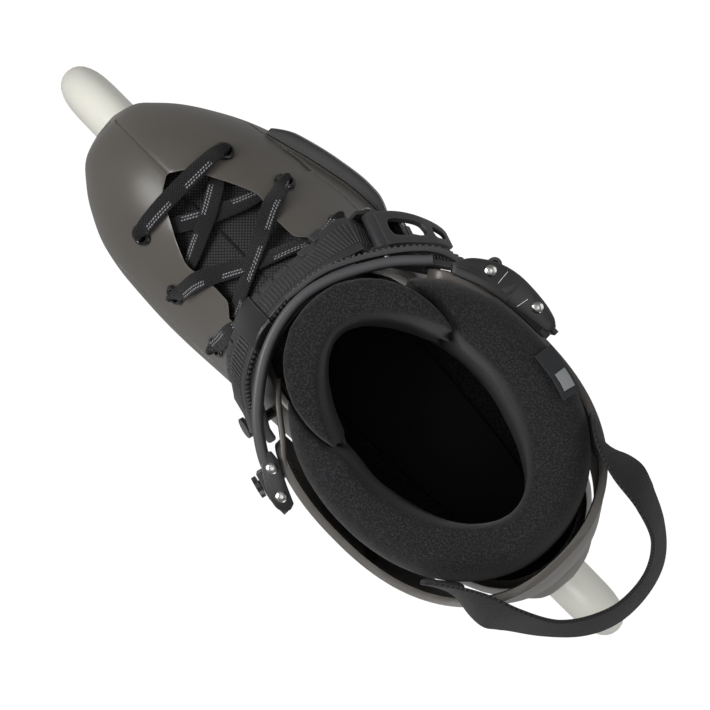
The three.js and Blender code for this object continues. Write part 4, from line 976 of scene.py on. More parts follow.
PUFF_FRAMES = 18
MOST_SWELL = 2.2


def swelling(place):
    """Hold on a padded piece: firm inside the boot and free above it."""
    return 0.0 if place.z > 300 else 1.0


def puff(obj, voxel, pressure):
    """Rebuilds a piece as even cells, fills it like a cushion and rounds it off."""
    modify(obj, "REMESH", mode="VOXEL", voxel_size=voxel * MM, use_smooth_shade=True)
    before = [v.co.copy() for v in obj.data.vertices]
    group = obj.vertex_groups.new(name="Held")
    for vertex in obj.data.vertices:
        group.add([vertex.index], swelling(vertex.co / MM), "REPLACE")
    cloth = obj.modifiers.new("Fill", "CLOTH")
    cloth.settings.use_pressure = True
    cloth.settings.uniform_pressure_force = pressure
    cloth.settings.effector_weights.gravity = 0
    cloth.settings.quality = 5
    cloth.settings.tension_stiffness = cloth.settings.compression_stiffness = 25
    cloth.settings.vertex_group_mass = "Held"
    for number in range(1, PUFF_FRAMES + 1):
        bpy.context.scene.frame_set(number)
    settle(obj)
    bpy.context.scene.frame_set(1)
    for vertex, start in zip(obj.data.vertices, before):
        move = vertex.co - start
        if move.length > MOST_SWELL * MM:
            vertex.co = start + move.normalized() * MOST_SWELL * MM
    modify(obj, "SMOOTH", factor=0.5, iterations=3)
    modify(obj, "SUBSURF", levels=1, render_levels=1)
    obj.data.shade_smooth()
    return obj


def tuck(obj, top, by):
    """Draws the hidden part of a padded piece in, fading out up to a height."""
    normals = [v.normal.copy() for v in obj.data.vertices]
    for vertex, normal in zip(obj.data.vertices, normals):
        share = min(1, max(0, (top - vertex.co.z / MM) / 20))
        vertex.co -= normal * by * share * MM
    obj.data.update()


def build_collar():
    """Padded collar round the ankle, open at the front for the tongue."""
    outer = tower("Collar", SHAFT_LEVELS, 2.15, 96, material=MATERIALS["fabric"])
    tools = [tower("Mouth", MOUTH_LEVELS, 1.8, 96), tower("Tongue Room", TONGUE_LEVELS, 2, 96, 1),
             block("Front", (3, 60), (-90, 90), (200, 360)),
             side_prism("Low Side", below_split(1), -90, 90),
             block("Low Front", (-60, 60), (-26, 26), (200, 360)), *nut_rooms()]
    carve(outer, *tools)
    carve(outer, block("Top", (-200, 100), (-90, 90), (200, 360)), operation="INTERSECT")
    puff(outer, 3.4, 2.0)
    tuck(outer, 285, 0.8)
    ride(outer, "cuff", "liner_fabric", "liner_collar")


def lean_rooms():
    """Room in the upper tongue for the instep pad as the cuff leans forward."""
    hinge = Matrix.Translation(Vector((PIVOT_X, 0, PIVOT_Z)) * MM)
    rooms = []
    for lean in (1, 2.5, 4, 5.5, 7):
        room = band("Lean Room", INSTEP_ROUTE[1:], 35, -PAD_THICK / 2 - 1.8, 8, 40, None)
        turn = Matrix.Rotation(-math.radians(lean), 4, "Y")
        room.data.transform(hinge @ turn @ hinge.inverted())
        rooms.append(room)
    return rooms


def build_tongue_upper():
    """Upper tongue, a curved pad in the front of the collar."""
    outer = tower("Tongue Upper", TONGUE_LEVELS, 2, 96, material=MATERIALS["fabric"])
    carve(outer, tower("Mouth", MOUTH_LEVELS, 1.8, 96), side_prism("Low", below_split(1), -90, 90))
    carve(outer, block("Keep", (-34, 60), (-90, 90), (200, 360)), operation="INTERSECT")
    carve(outer, *lean_rooms())
    puff(outer, 3.0, 1.5)
    ride(outer, "cuff", "liner_fabric", "tongue_upper")


# ---- cuff -----------------------------------------------------------------------------
CUFF_SIDE = [(-170, 233), (-118, 233), (-106, 219), (-93, 206), (PIVOT_X, 201), (-57, 207),
             (-45, 222), (-30, 246), (-15, 272), (-9, 288), (-9, 297), (-12, 302), (-20, 305),
             (-70, 307), (-100, 313), (-122, 321), (-140, 323), (-170, 323)]
CUFF_POWER = 2.3


def rounded_outline(points, per_corner=6, share=0.35):
    """Outline with each corner rounded between points set back along its two sides."""
    out = []
    count = len(points)
    for i in range(count):
        before, at, after = (np.array(points[(i + k) % count], float) for k in (-1, 0, 1))
        start, end = at + (before - at) * share, at + (after - at) * share
        for k in range(per_corner + 1):
            t = k / per_corner
            out.append(tuple((1 - t) ** 2 * start + 2 * t * (1 - t) * at + t * t * end))
    return out


def on_cuff(x, z, side, lift=0.0):
    """Point off the cuff's outer wall at (x, z)."""
    rear, front, inside, outside = (profile([(level[0], level[i]) for level in CUFF_LEVELS])(z)
                                    for i in range(1, 5))
    cx, cy = (rear + front) / 2, (inside + outside) / 2
    a, b = (front - rear) / 2, (inside - outside) / 2
    share = min(abs(x - cx) / a, 0.999)
    y = b * (1 - share**CUFF_POWER) ** (1 / CUFF_POWER)
    return Vector((x, cy + side * (y + lift), z))


def build_cuff():
    """Hinged cuff with a sunk panel line on each side."""
    cuff = tower("Cuff", CUFF_LEVELS, CUFF_POWER, 144, material=MATERIALS["shell"])
    inner = tower("Cuff Room", [(l[0] + (-1 if i == 0 else 1 if i == 5 else 0), *l[1:])
                                for i, l in enumerate(CUFF_LEVELS)], CUFF_POWER, 144, -3.5)
    carve(cuff, inner)
    carve(cuff, side_prism("Side", rounded_outline(CUFF_SIDE), -100, 100), operation="INTERSECT")
    tools = pivot_bores()
    tools.append(hole(*STRAP_BOLTS["cuff"], STRAP_BORE, *THROUGH_STRAP))
    for side in (1, -1):
        line = [(-106, 232), (-92, 218), (PIVOT_X, 211), (-60, 217), (-48, 238), (-44, 262),
                (-56, 276), (-88, 281), (-108, 276), (-113, 254)]
        ring = [on_cuff(x, z, side, 0.15) for x, z in line]
        tools.append(cord_along("Panel", ring + [ring[0]], 0.75, steps=110))
    carve(cuff, *tools)
    soften(cuff, 0.8, 2, 50)
    ride(cuff, "cuff", "shell_plastic", "cuff")


# ---- straps ---------------------------------------------------------------------------
INSTEP_ROUTE = [
    (2, 49.5, 222, 0.25, 0.95, 0.2), (10, 45.5, 238, 0.45, 0.8, 0.35),
    (23, 35.5, 254, 0.65, 0.5, 0.5), (31.5, 17, 261, 0.8, 0.2, 0.55),
    (33.5, 0, 262.5, 0.85, 0, 0.55), (32, -17, 261, 0.8, -0.2, 0.55),
    (27, -31, 257.5, 0.6, -0.55, 0.55)]
CUFF_ROUTE = [
    (-24, 61, 296, 0.2, 1, 0), (-8, 55, 297, 0.5, 0.9, 0), (8, 42, 299, 0.75, 0.65, 0),
    (22, 22, 301, 0.9, 0.4, 0), (27.5, 1, 301.5, 1, 0, 0), (24.5, -18, 301, 0.9, -0.4, 0),
    (13, -40, 300, 0.75, -0.65, 0), (0, -55, 299, 0.6, -0.8, 0)]
PAD_THICK, LADDER_THICK, LADDER_WIDTH = 4.6, 2.4, 19
LADDER_GAP = PAD_THICK / 2 + 2 * GAP
INSTEP_ALONG = Vector((0.652, 0.474, 0.593)).normalized()
INSTEP_OFF = Vector((0.127, -0.83, 0.524)).normalized()
INSTEP_ACROSS = INSTEP_OFF.cross(INSTEP_ALONG).normalized()
INSTEP_OFF = INSTEP_ALONG.cross(INSTEP_ACROSS).normalized()
INSTEP_ORIGIN = Vector((21, -44, 243))


def offset(route, by):
    """Route moved off its face."""
    out = []
    for x, y, z, a, b, c in route:
        n = Vector((a, b, c)).normalized()
        out.append((x + n.x * by, y + n.y * by, z + n.z * by, a, b, c))
    return out


def in_buckle(x, z, y=0.0):
    """Place in the instep buckle's own frame."""
    return INSTEP_ORIGIN + INSTEP_ALONG * x + INSTEP_ACROSS * y + INSTEP_OFF * z


def nodes_tree(name):
    """Geometry node tree with one geometry in and one out."""
    tree = bpy.data.node_groups.new(name, "GeometryNodeTree")
    tree.interface.new_socket("Geometry", in_out="INPUT", socket_type="NodeSocketGeometry")
    tree.interface.new_socket("Geometry", in_out="OUTPUT", socket_type="NodeSocketGeometry")
    return tree


def named_input(tree, label, kind, value):
    """Adds a named input to a geometry node tree."""
    socket = tree.interface.new_socket(label, in_out="INPUT", socket_type=kind)
    if value is not None:
        socket.default_value = value
    return socket.identifier


def row_tree():
    """Instances of one object along the vertices of a line, faced by its stored vectors."""
    tree = nodes_tree("Row")
    keys = {"Item": named_input(tree, "Item", "NodeSocketObject", None),
            "Material": named_input(tree, "Material", "NodeSocketMaterial", None),
            "Size Spread": named_input(tree, "Size Spread", "NodeSocketFloat", 0.0),
            "Seed": named_input(tree, "Seed", "NodeSocketInt", 7)}
    source, sink = tree.nodes.new("NodeGroupInput"), tree.nodes.new("NodeGroupOutput")
    item = add_node(tree, "GeometryNodeObjectInfo", {"Object": source.outputs["Item"]})
    off = add_node(tree, "GeometryNodeInputNamedAttribute", {"Name": "off"},
                   data_type="FLOAT_VECTOR")
    along = add_node(tree, "GeometryNodeInputNamedAttribute", {"Name": "along"},
                     data_type="FLOAT_VECTOR")
    up = add_node(tree, "FunctionNodeAlignRotationToVector", {"Vector": off.outputs[0]}, axis="Z")
    turn = add_node(tree, "FunctionNodeAlignRotationToVector", {
        "Rotation": up.outputs[0], "Vector": along.outputs[0]}, axis="X", pivot_axis="Z")
    spread = source.outputs["Size Spread"]
    low = math_node(tree, "SUBTRACT", 1.0, spread)
    high = math_node(tree, "ADD", 1.0, spread)
    size = add_node(tree, "FunctionNodeRandomValue", {"Min": low, "Max": high,
                    "Seed": source.outputs["Seed"]}, data_type="FLOAT")
    placed = add_node(tree, "GeometryNodeInstanceOnPoints", {
        "Points": source.outputs["Geometry"], "Instance": item.outputs["Geometry"],
        "Rotation": turn.outputs[0]})
    value = next(s for s in size.outputs if s.enabled)
    tree.links.new(value, placed.inputs["Scale"])
    real = add_node(tree, "GeometryNodeRealizeInstances", {0: placed.outputs[0]})
    final = add_node(tree, "GeometryNodeSetMaterial", {
        "Geometry": real.outputs[0], "Material": source.outputs["Material"]})
    tree.links.new(final.outputs[0], sink.inputs[0])
    return tree, keys


ROW = {}


def repeat(name, item, places, material, spread=0.0, seed=7):
    """One mesh of an item repeated at (place, along, off) triples by a node tree.
    The item's X points along the row and its Z off the surface."""
    if not ROW:
        ROW["tree"], ROW["keys"] = row_tree()
    mesh = bpy.data.meshes.new(name)
    mesh.from_pydata([tuple(c * MM for c in p[0]) for p in places], [], [])
    for key, index in (("along", 1), ("off", 2)):
        layer = mesh.attributes.new(key, "FLOAT_VECTOR", "POINT")
        layer.data.foreach_set("vector", [c for p in places for c in p[index]])
    obj = bpy.data.objects.new(name, mesh)
    bpy.context.scene.collection.objects.link(obj)
    modifier = obj.modifiers.new("Row", "NODES")
    modifier.node_group = ROW["tree"]
    keys = ROW["keys"]
    modifier[keys["Item"]], modifier[keys["Material"]] = item, material
    modifier[keys["Size Spread"]], modifier[keys["Seed"]] = spread, seed
    settle(obj)
    bpy.data.objects.remove(item)
    obj.data.materials.clear()
    obj.data.materials.append(material)
    face_outward(obj)
    return obj


def bar_item(name, x, y, z, corner=0.3):
    """Small rounded block to repeat, with half sizes x and y and height z, sunk 0.3 mm."""
    item = block(name, (-x, x), (-y, y), (-0.3, z), MATERIALS["black"])
    return soften(item, corner, 2, 60)


def places_on(stops, steps, first, last, lift, spacing):
    """Evenly spaced (place, along, off) triples on a strap, between two shares of its length."""
    frames = band_frames(stops, steps)
    runs = [0.0]
    for a, b in zip(frames, frames[1:]):
        runs.append(runs[-1] + (b[0] - a[0]).length)
    count = int((last - first) * runs[-1] / spacing)
    out = []
    for k in range(count + 1):
        want = first * runs[-1] + k * spacing
        i = min(int(np.searchsorted(runs, want)), steps)
        i = max(i, 1)
        t = (want - runs[i - 1]) / (runs[i] - runs[i - 1])
        a, b = frames[i - 1], frames[i]
        off = a[3].lerp(b[3], t).normalized()
        out.append((a[0].lerp(b[0], t) + off * lift, a[1].lerp(b[1], t).normalized(), off))
    return out


def instep_ladder_route():
    """Route of the toothed ladder over the pad and through the buckle."""
    floor = 1.8 + GAP + LADDER_THICK / 2
    route = offset([(8, 46.4, 234.5, 0.4, 0.85, 0.3), *INSTEP_ROUTE[1:6]],
                   LADDER_GAP + GAP + LADDER_THICK / 2)
    return route + [(*in_buckle(x, floor), *INSTEP_OFF) for x in (19, 8, -15, -40)]


def build_pad(name, route, width, fat, steps, body, node, bolt, key):
    """Rounded strap pad, narrower at its ends, bored for its bolt."""
    pad = band(name, route, width, -PAD_THICK / 2, PAD_THICK / 2, steps, MATERIALS[key],
               lambda t: fat + (1 - fat) * math.sin(math.pi * t), 1.6)
    carve(pad, hole(*STRAP_BOLTS[bolt], STRAP_BORE, *THROUGH_STRAP))
    smooth(pad, 50)
    ride(pad, body, "strap_plastic", node)


def build_ladder(name, route, steps, body, node):
    """Flexible ladder that a buckle grips."""
    ladder = band(name, route, LADDER_WIDTH, -LADDER_THICK / 2, LADDER_THICK / 2, steps,
                  MATERIALS["strap"], None, 0.5)
    smooth(ladder, 50)
    ride(ladder, body, "strap_plastic", node)


def build_instep_strap():
    """Pad, ladder and keeper of the strap over the instep."""
    build_pad("Instep Pad", INSTEP_ROUTE, 31, 0.72, 90, "boot", "instep_pad", "instep", "strap")
    route = instep_ladder_route()
    build_ladder("Instep Ladder", route, 150, "boot", "instep_ladder")
    ribs = repeat("Instep Ribs", bar_item("Rib", 0.42, 5.6, 0.55, 0.15),
                  places_on(route, 200, 0.06, 0.98, LADDER_THICK / 2, 1.9), MATERIALS["strap"])
    ride(ribs, "boot", "strap_plastic")
    edge_row("Instep Blocks", route, (0.1, 0.6), 8.4, 1, 10.2, (3.4, 2.3, 2.6, 0.5), "boot")
    edge_row("Instep Teeth", route, (0.06, 0.62), 2.3, -1, 9.4, (0.6, 1.0, 1.6, 0.2), "boot")
    near = near_route(INSTEP_ROUTE, 3, 0.3)
    over = LADDER_GAP + LADDER_THICK + 4 * GAP
    keeper = band("Instep Keeper", near, LADDER_WIDTH + 6, over, over + 1.4, 16,
                  MATERIALS["black"], None, 0.6)
    sides = [band("Side", [(*(Vector(s[:3]) + shift), *s[3:]) for s in near], 1.6,
                  PAD_THICK / 2 + 4 * GAP, over + 1.2, 16, MATERIALS["black"], None, 0.5)
             for shift in keeper_sides(near)]
    carve(keeper, *sides, operation="UNION")
    smooth(keeper)
    ride(keeper, "boot", "strap_plastic", "instep_keeper")


def edge_row(name, route, span, spacing, side, reach, size, body):
    """Row of blocks on one edge of a strap; side is 1 for the edge toward the toe."""
    places = []
    for at, along, off in places_on(route, 200, *span, -LADDER_THICK / 2, spacing):
        across = along.cross(off)
        if across.x < 0:
            across = -across
        places.append((at + across * side * reach, along, off))
    row = repeat(name, bar_item("Item", *size), places, MATERIALS["strap"])
    ride(row, body, "strap_plastic")


def near_route(route, at, share):
    """Three stops close round one stop of a route."""
    stops = [route[at - 1], route[at], route[at + 1]]
    return [tuple(v + (m - v) * (1 - share) for v, m in zip(s, stops[1])) for s in stops]


def keeper_sides(near):
    """Shifts of the keeper's two cheeks across the strap."""
    along = Vector(near[2][:3]) - Vector(near[0][:3])
    across = along.cross(Vector(near[1][3:])).normalized()
    return [across * side * (LADDER_WIDTH + 6) / 2 for side in (-1, 1)]


CUFF_LADDER_ROUTE = offset(CUFF_ROUTE[4:], LADDER_GAP + GAP + LADDER_THICK / 2) + [
    (-12, -64.4, 297, 0.2, -1, 0), (-26, -69.4, 296, 0.1, -1, 0), (-46, -71.2, 295, 0, -1, 0),
    (-60, -71, 294.5, 0, -1, 0)]


def build_cuff_strap():
    """Pad and ladder of the strap round the front of the cuff."""
    build_pad("Cuff Pad", CUFF_ROUTE, 24, 0.8, 110, "cuff", "cuff_pad", "cuff", "pale_strap")
    build_ladder("Cuff Ladder", CUFF_LADDER_ROUTE, 120, "cuff", "cuff_ladder")
    ribs = repeat("Cuff Ribs", bar_item("Rib", 0.55, 5.2, 0.75),
                  places_on(CUFF_LADDER_ROUTE, 160, 0.04, 0.98, LADDER_THICK / 2, 2.6),
                  MATERIALS["strap"])
    ride(ribs, "cuff", "strap_plastic")


# ---- trim -----------------------------------------------------------------------------
def build_slider():
    """Rub strip on the outer side of the shell."""
    rings = []
    for i in range(61):
        x = 31 + 67 * i / 60
        end = min(1, i / 10, (60 - i) / 10)
        heights = [147 + 21 * k / 8 for k in range(9)]
        inner = [on_side(x, z, -1, 0.25) for z in heights]
        face = outside_line(x) - 1.8 - 3 * math.sin(end * math.pi / 2)
        outer = [Vector((x, face + 0.12 * abs(z - 158), z)) for z in reversed(heights)]
        rings.append(inner + outer)
    strip = loft("Slider", rings, MATERIALS["black"])
    soften(strip, 1.2, 3, 35)
    ride(strip, "boot", "black_plastic", "slider_outside")


LOOP_ROUTE = [
    (-100.5, 38.6, 318, -0.62, 0.76, 0), (-103, 38.8, 328, -0.6, 0.74, 0.25),
    (-119, 34, 336, -0.35, 0.7, 0.6), (-131, 28.5, 335.5, -0.35, 0.8, 0.5),
    (-146, 19, 328, -0.6, 0.7, 0.35), (-158, 5, 321, -0.85, 0.35, 0.35),
    (-163, -10, 317, -0.95, 0, 0.35), (-160, -28, 320, -0.85, -0.4, 0.35),
    (-149, -41, 327, -0.5, -0.75, 0.35), (-134, -47.5, 335, -0.2, -0.85, 0.5),
    (-120, -50, 336, -0.1, -0.8, 0.6), (-103, -51.2, 328, -0.6, -0.74, 0.25),
    (-100.5, -51, 318, -0.62, -0.76, 0)]


def build_loop(width):
    """Webbing pull loop behind the collar, gathered a little at both ends."""
    steps, thick = 220, 1.8
    loop = band("Pull Loop", LOOP_ROUTE, width, -thick / 2, thick / 2, steps, MATERIALS["webbing"],
                lambda t: 0.6 + 0.4 * math.sqrt(math.sin(math.pi * t)), 0.7)
    smooth(loop, 60)
    ride(loop, "cuff", "liner_fabric", "pull_loop")


def build_label():
    """Plain label on the collar's outer side."""
    label = band("Label", [(-82, -55.5, 333.3, -0.3, -0.7, 0.66),
                           (-71, -58.6, 333.3, -0.2, -0.74, 0.66),
                           (-60, -60.1, 333.3, -0.05, -0.75, 0.66)], 13, 0, 0.9, 24,
                 MATERIALS["label"], None, 0.4)
    ride(label, "cuff", "liner_fabric", "label_tab")
    mark = band("Label Mark", [(-79, -56.6, 333.3, -0.3, -0.7, 0.66),
                               (-75, -57.8, 333.3, -0.2, -0.74, 0.66),
                               (-71, -58.6, 333.3, -0.1, -0.75, 0.66)], 8, 0.8, 1.15, 8,
                MATERIALS["mark"], None, 0.15)
    ride(mark, "cuff", "liner_fabric")


# ---- stage ----------------------------------------------------------------------------
# Name, place in metres, size in metres and power of each lamp.
LAMPS = (("Key", (0.9, 0.7, 1.4), 0.8, 46), ("Fill", (-0.6, -1.1, 1.3), 1.3, 15),
         ("Rim", (-1.3, 0.5, 0.8), 0.7, 11), ("Top", (0.2, 0.1, 2.6), 1.2, 14))
LAMPS_AIM = Vector((0, 0, 0.2))
FLOOR_HALF, FLOOR_Z = 40.0, -0.002
EYE, LENS, SENSOR = (-0.006, -0.003, 1.67), 161.5, 36
BOUNCED = 0.4                        # share of the floor's glow that lights the skate


def build_floor(glow):
    """White floor that glows less for the light it gives than for the eye."""
    floor = bpy.data.meshes.new("Floor")
    corners = ((-1, -1), (1, -1), (1, 1), (-1, 1))
    floor.from_pydata([(x * FLOOR_HALF, y * FLOOR_HALF, FLOOR_Z) for x, y in corners], [],
                      [(0, 1, 2, 3)])
    material, tree, shader = start_material("Floor White")
    shader.inputs["Base Color"].default_value = (0, 0, 0, 1)
    shader.inputs["Roughness"].default_value = 1
    shader.inputs["Specular IOR Level"].default_value = 0
    shader.inputs["Emission Color"].default_value = (1, 1, 1, 1)
    seen = add_node(tree, "ShaderNodeLightPath")
    direct = math_node(tree, "MULTIPLY", seen.outputs["Is Camera Ray"], glow * (1 - BOUNCED))
    strength = math_node(tree, "ADD", direct, glow * BOUNCED)
    tree.links.new(strength, shader.inputs["Emission Strength"])
    floor.materials.append(material)
    ground = bpy.data.objects.new("Floor", floor)
    bpy.context.scene.collection.objects.link(ground)
    return ground


def build_lamp(name, at, size, power):
    """Soft square lamp aimed at the skate."""
    light = bpy.data.lights.new(name, "AREA")
    light.energy, light.size = power, size
    lamp = bpy.data.objects.new(name, light)
    lamp.location = at
    lamp.rotation_euler = (LAMPS_AIM - Vector(at)).to_track_quat("-Z", "Y").to_euler()
    bpy.context.scene.collection.objects.link(lamp)
    return lamp


def build_stage(settings):
    """White floor, soft lights and the camera straight above."""
    scene = bpy.context.scene
    ground = build_floor(settings.floor_glow)
    lamps = [build_lamp(name, at, size, power * settings.light)
             for name, at, size, power in LAMPS]
    world = bpy.data.worlds.new("White")
    world.use_nodes = True
    world.node_tree.nodes["Background"].inputs[0].default_value = (1, 1, 1, 1)
    world.node_tree.nodes["Background"].inputs[1].default_value = settings.sky
    scene.world = world
    scene.view_settings.view_transform = "Standard"
    camera = bpy.data.cameras.new("Camera")
    camera.lens, camera.sensor_width = LENS, SENSOR
    camera.clip_end = 20
    eye = bpy.data.objects.new("Camera", camera)
    eye.location = EYE
    eye.rotation_euler = (0, 0, -settings.turn)
    scene.collection.objects.link(eye)
    scene.camera = eye


# ---- panel and operators --------------------------------------------------------------
def colour(label, text, about):
    """Colour setting with a default from a #rrggbb string."""
    return bpy.props.FloatVectorProperty(name=label, description=about, subtype="COLOR", size=3,
                                         min=0, max=1, default=srgb(text)[:3])


def distance(label, size, about):
    """Length setting with a default in millimetres."""
    return bpy.props.FloatProperty(name=label, description=about, default=size * MM, min=0,
                                   subtype="DISTANCE", unit="LENGTH")


class SkateSettings(bpy.types.PropertyGroup):
    """Sizes and colours of the skate's looks."""

    shell: colour("Shell", "#55514c", "Colour of the shell and cuff")
    black: colour("Black trim", "#1b1b1d", "Colour of the buckles and the rub strip")
    strap: colour("Straps", "#303032", "Colour of the ladders and the instep pad")
    pale_strap: colour("Cuff pad", "#48484a", "Colour of the pad round the cuff")
    hub: colour("Hubs", "#2a2a2c", "Colour of the wheel cores")
    tyre: colour("Tyres", "#e3e2d8", "Colour of the wheels' urethane")
    lace_width: distance("Lace width", 8.6, "Width of the lace between its eyelets")
    loop_width: distance("Loop width", 25, "Width of the pull loop's webbing")
    light: bpy.props.FloatProperty(name="Light", default=0.52, min=0,
                                   description="Share of each lamp's full power")
    sky: bpy.props.FloatProperty(name="Sky", default=0.22, min=0,
                                 description="Strength of the even light from all round")
    floor_glow: bpy.props.FloatProperty(name="Floor glow", default=1.05, min=0,
                                        description="Light given off by the white floor")
    turn: bpy.props.FloatProperty(name="Turn", default=math.radians(134.68), subtype="ANGLE",
                                  description="Turn of the camera about its line of sight")


def in_mm(size):
    """Length setting in millimetres."""
    return round(size / MM, 4)


def build_wheels():
    """All three wheels with their bearings, spacers and axles."""
    for place, x in AXLES.items():
        build_wheel(place, x)
        paint([f"bearing_{place}_inside", f"bearing_{place}_outside", f"bearing_spacer_{place}",
               f"axle_{place}"], "steel", 0.3)
        for side in (1, -1):
            bearing_shield(place, x, side)


def build_frame():
    """Frame and the bolts that hold it."""
    paint(["frame_chassis"], "frame", 0.6)
    paint(["mount_bolt_front", "mount_bolt_rear"], "steel", 0.3)


def build_eyelets():
    """Six eyelets."""
    for place in EYELETS:
        build_eyelet(place)


def build_liner():
    """Liner, tongue, footbed and collar."""
    build_liner_boot()
    build_tongue_lower()
    build_footbed()
    build_collar()
    build_tongue_upper()


BUCKLE_OUTER = [(-7.5, -60.5), (-9.5, -65), (-13.5, -69.5), (-21.6, -74.6), (-32, -77.2),
                (-45.4, -76.8), (-54, -75), (-58, -72.5)]
BUCKLE_INNER = [(-57.5, -69), (-44, -66.8), (-29.5, -63.2), (-18.4, -59.8), (-10, -57.6)]
PIN_LOW, PIN_HIGH = 282.0, 309.0     # ends of the buckle's pins
ANCHOR_TOP = 307
CUFF_PINS = ((-20.5, -72.8), (-47, -75.4))
CUFF_RIVETS = ((-21.2, -69.6), (-46.5, -72.8))
CHEEK_GLINT_LINES = (((-6, 1.5), (-5.4, -5)), ((6.5, 6), (5.5, 0.5)))  # off each rivet; painted highlight: thin steel lines where the edges between lever and cheek catch the light
RIVET_RADIUS = 2.6


def smooth_outline(points, steps=60):
    """Open outline eased through its points, as (x, y) pairs."""
    return [(x, y) for x, y, _ in spline([(*p, 0) for p in points], steps)]


def rivet(name, at, axis, body):
    """Domed rivet head with a dimple."""
    head = turned(name, at, axis, [(d, RIVET_RADIUS * share) for d, share in (
        (-0.6, 0.7), (0, 1), (0.45, 0.97), (0.85, 0.72), (0.95, 0.45), (0.5, 0.32), (0.45, 0))],
        40, MATERIALS["steel"])
    ride(head, body, "steel")


def build_cuff_buckle():
    """Base and crescent cheeks of the buckle on the outside of the cuff, with its pins, and thin
    steel lines that are a painted highlight of the glints along the cheeks' edges.
    """
    outer, inner = smooth_outline(BUCKLE_OUTER), smooth_outline(BUCKLE_INNER)
    base = band("Cuff Buckle", [(-10, -59, 296, 0.35, -1, 0), (-24, -64.2, 296, 0.2, -1, 0),
                                (-40, -66.9, 295, 0.05, -1, 0), (-58, -67.2, 294, -0.05, -1, 0)],
                25, -2.2, 2, 60, MATERIALS["black"], None, 0.6)
    room = band("Ladder Room", CUFF_LADDER_ROUTE, LADDER_WIDTH + 1, -1.6, 1.6, 120, None)
    carve(base, room)
    cheeks = [plan_prism("Cheek", outer + inner, z, z + 2.2, MATERIALS["black"])
              for z in (PIN_LOW + 1, PIN_HIGH - 3.3)]
    carve(base, *cheeks, operation="UNION")
    soften(base, 0.5, 2, 50)
    smooth(base, 30)
    ride(base, "cuff", "black_plastic", "cuff_buckle_base")
    for i, (x, y) in enumerate(CUFF_RIVETS):
        pin = hole((x, y, 0), (0, 0, 1), 1.5, PIN_LOW, PIN_HIGH - 2, 20)
        pin.data.materials.clear()
        pin.data.materials.append(MATERIALS["steel"])
        pin.name = f"Cuff Pin {i}"
        ride(pin, "cuff", "steel", ("cuff_lever_pin", "cuff_catch_pin")[i])
        rivet(f"Cuff Rivet {i}", (x, y, PIN_HIGH - 1), (0, 0, 1), "cuff")
        # Painted highlight: a thin steel line stands in for the bright glint where the lever's edge
        # meets the cheek.
        line = [(x + dx, y + dy, PIN_HIGH - 0.95) for dx, dy in CHEEK_GLINT_LINES[i]]
        mark = cord_along(f"Cheek Line {i}", line, 0.22, MATERIALS["steel"], 6, 8)
        ride(mark, "cuff", "black_plastic")


def build_cuff_lever():
    """Curved lever between the buckle's cheeks."""
    face = smooth_outline(BUCKLE_OUTER)[14:-2]
    back = [(x, y + 2.6) for x, y in reversed(face)]
    blade = plan_prism("Cuff Lever", face + back, PIN_LOW + 4, PIN_HIGH - 4, MATERIALS["strap"])
    neck = hole((*CUFF_PINS[0], 0), (0, 0, 1), 3.3, PIN_LOW + 4, PIN_HIGH - 4, 32)
    carve(blade, neck, operation="UNION")
    carve(blade, hole((*CUFF_PINS[0], 0), (0, 0, 1), 1.9, PIN_LOW, PIN_HIGH),
          block("Slot", (-42, -37), (-100, -60), (290, 301)),
          block("Slot", (-54, -51), (-100, -60), (290, 301)))
    soften(blade, 0.5, 2, 40)
    ride(blade, "cuff_lever", "strap_plastic", "cuff_lever")


def build_cuff_anchor():
    """Riveted bracket where the strap starts, on the inner side of the cuff."""
    bracket = smooth_outline([(-33, 60.5), (-33.5, 64), (-29, 67), (-20, 64.5), (-11, 58.5),
                              (-8.5, 54.5), (-10, 51.5)], 40)
    bracket += [(-15, 52), (-25, 57)]
    plate = plan_prism("Anchor Bracket", bracket, ANCHOR_TOP - 3.5, ANCHOR_TOP, MATERIALS["black"])
    soften(plate, 0.7, 2, 40)
    ride(plate, "cuff", "black_plastic")
    for i, (x, y) in enumerate(((-27, 62), (-15.5, 56.4))):
        rivet(f"Anchor Rivet {i}", (x, y, ANCHOR_TOP), (0, 0, 1), "cuff")


def narrowing(t):
    """Width share of a flap whose last part rounds off to its tip."""
    return math.sqrt(max(0.05, 1 - max(0, (t - 0.6) / 0.4) ** 2.5))


def build_cuff_flaps():
    """Thin flaps that carry the cuff's front edge forward under the strap."""
    lip = band("Cuff Lip", [(*on_cuff(x, 299, 1, -1.8), 0.3, 1, 0) for x in (-26, -18)] + [
        (-9, 43.8, 299, 0.5, 0.85, 0), (-2, 38.6, 299, 0.6, 0.8, 0), (4, 33.6, 299, 0.68, 0.72, 0),
        (10, 27.6, 299, 0.75, 0.65, 0)], 11, -1.3, 1.3, 50, MATERIALS["shell"], narrowing, 0.9)
    ride(lip, "cuff", "shell_plastic")
    tab = band("Cuff Tab", [(-30, -62, 298, 0.2, -1, 0), (-17, -59, 298, 0.35, -1, 0),
                            (-9, -55.4, 298, 0.5, -1, 0), (-2.5, -50.5, 298, 0.7, -0.8, 0)],
               17, -3.6, 1.4, 40, MATERIALS["shell"], narrowing, 0.9)
    ride(tab, "cuff", "shell_plastic")


def to_buckle(obj):
    """Moves a piece made in the instep buckle's own frame into place."""
    turn = Matrix((INSTEP_ALONG, INSTEP_ACROSS, INSTEP_OFF)).transposed().to_4x4()
    obj.data.transform(Matrix.Translation(INSTEP_ORIGIN * MM) @ turn)
    face_outward(obj)
    return obj


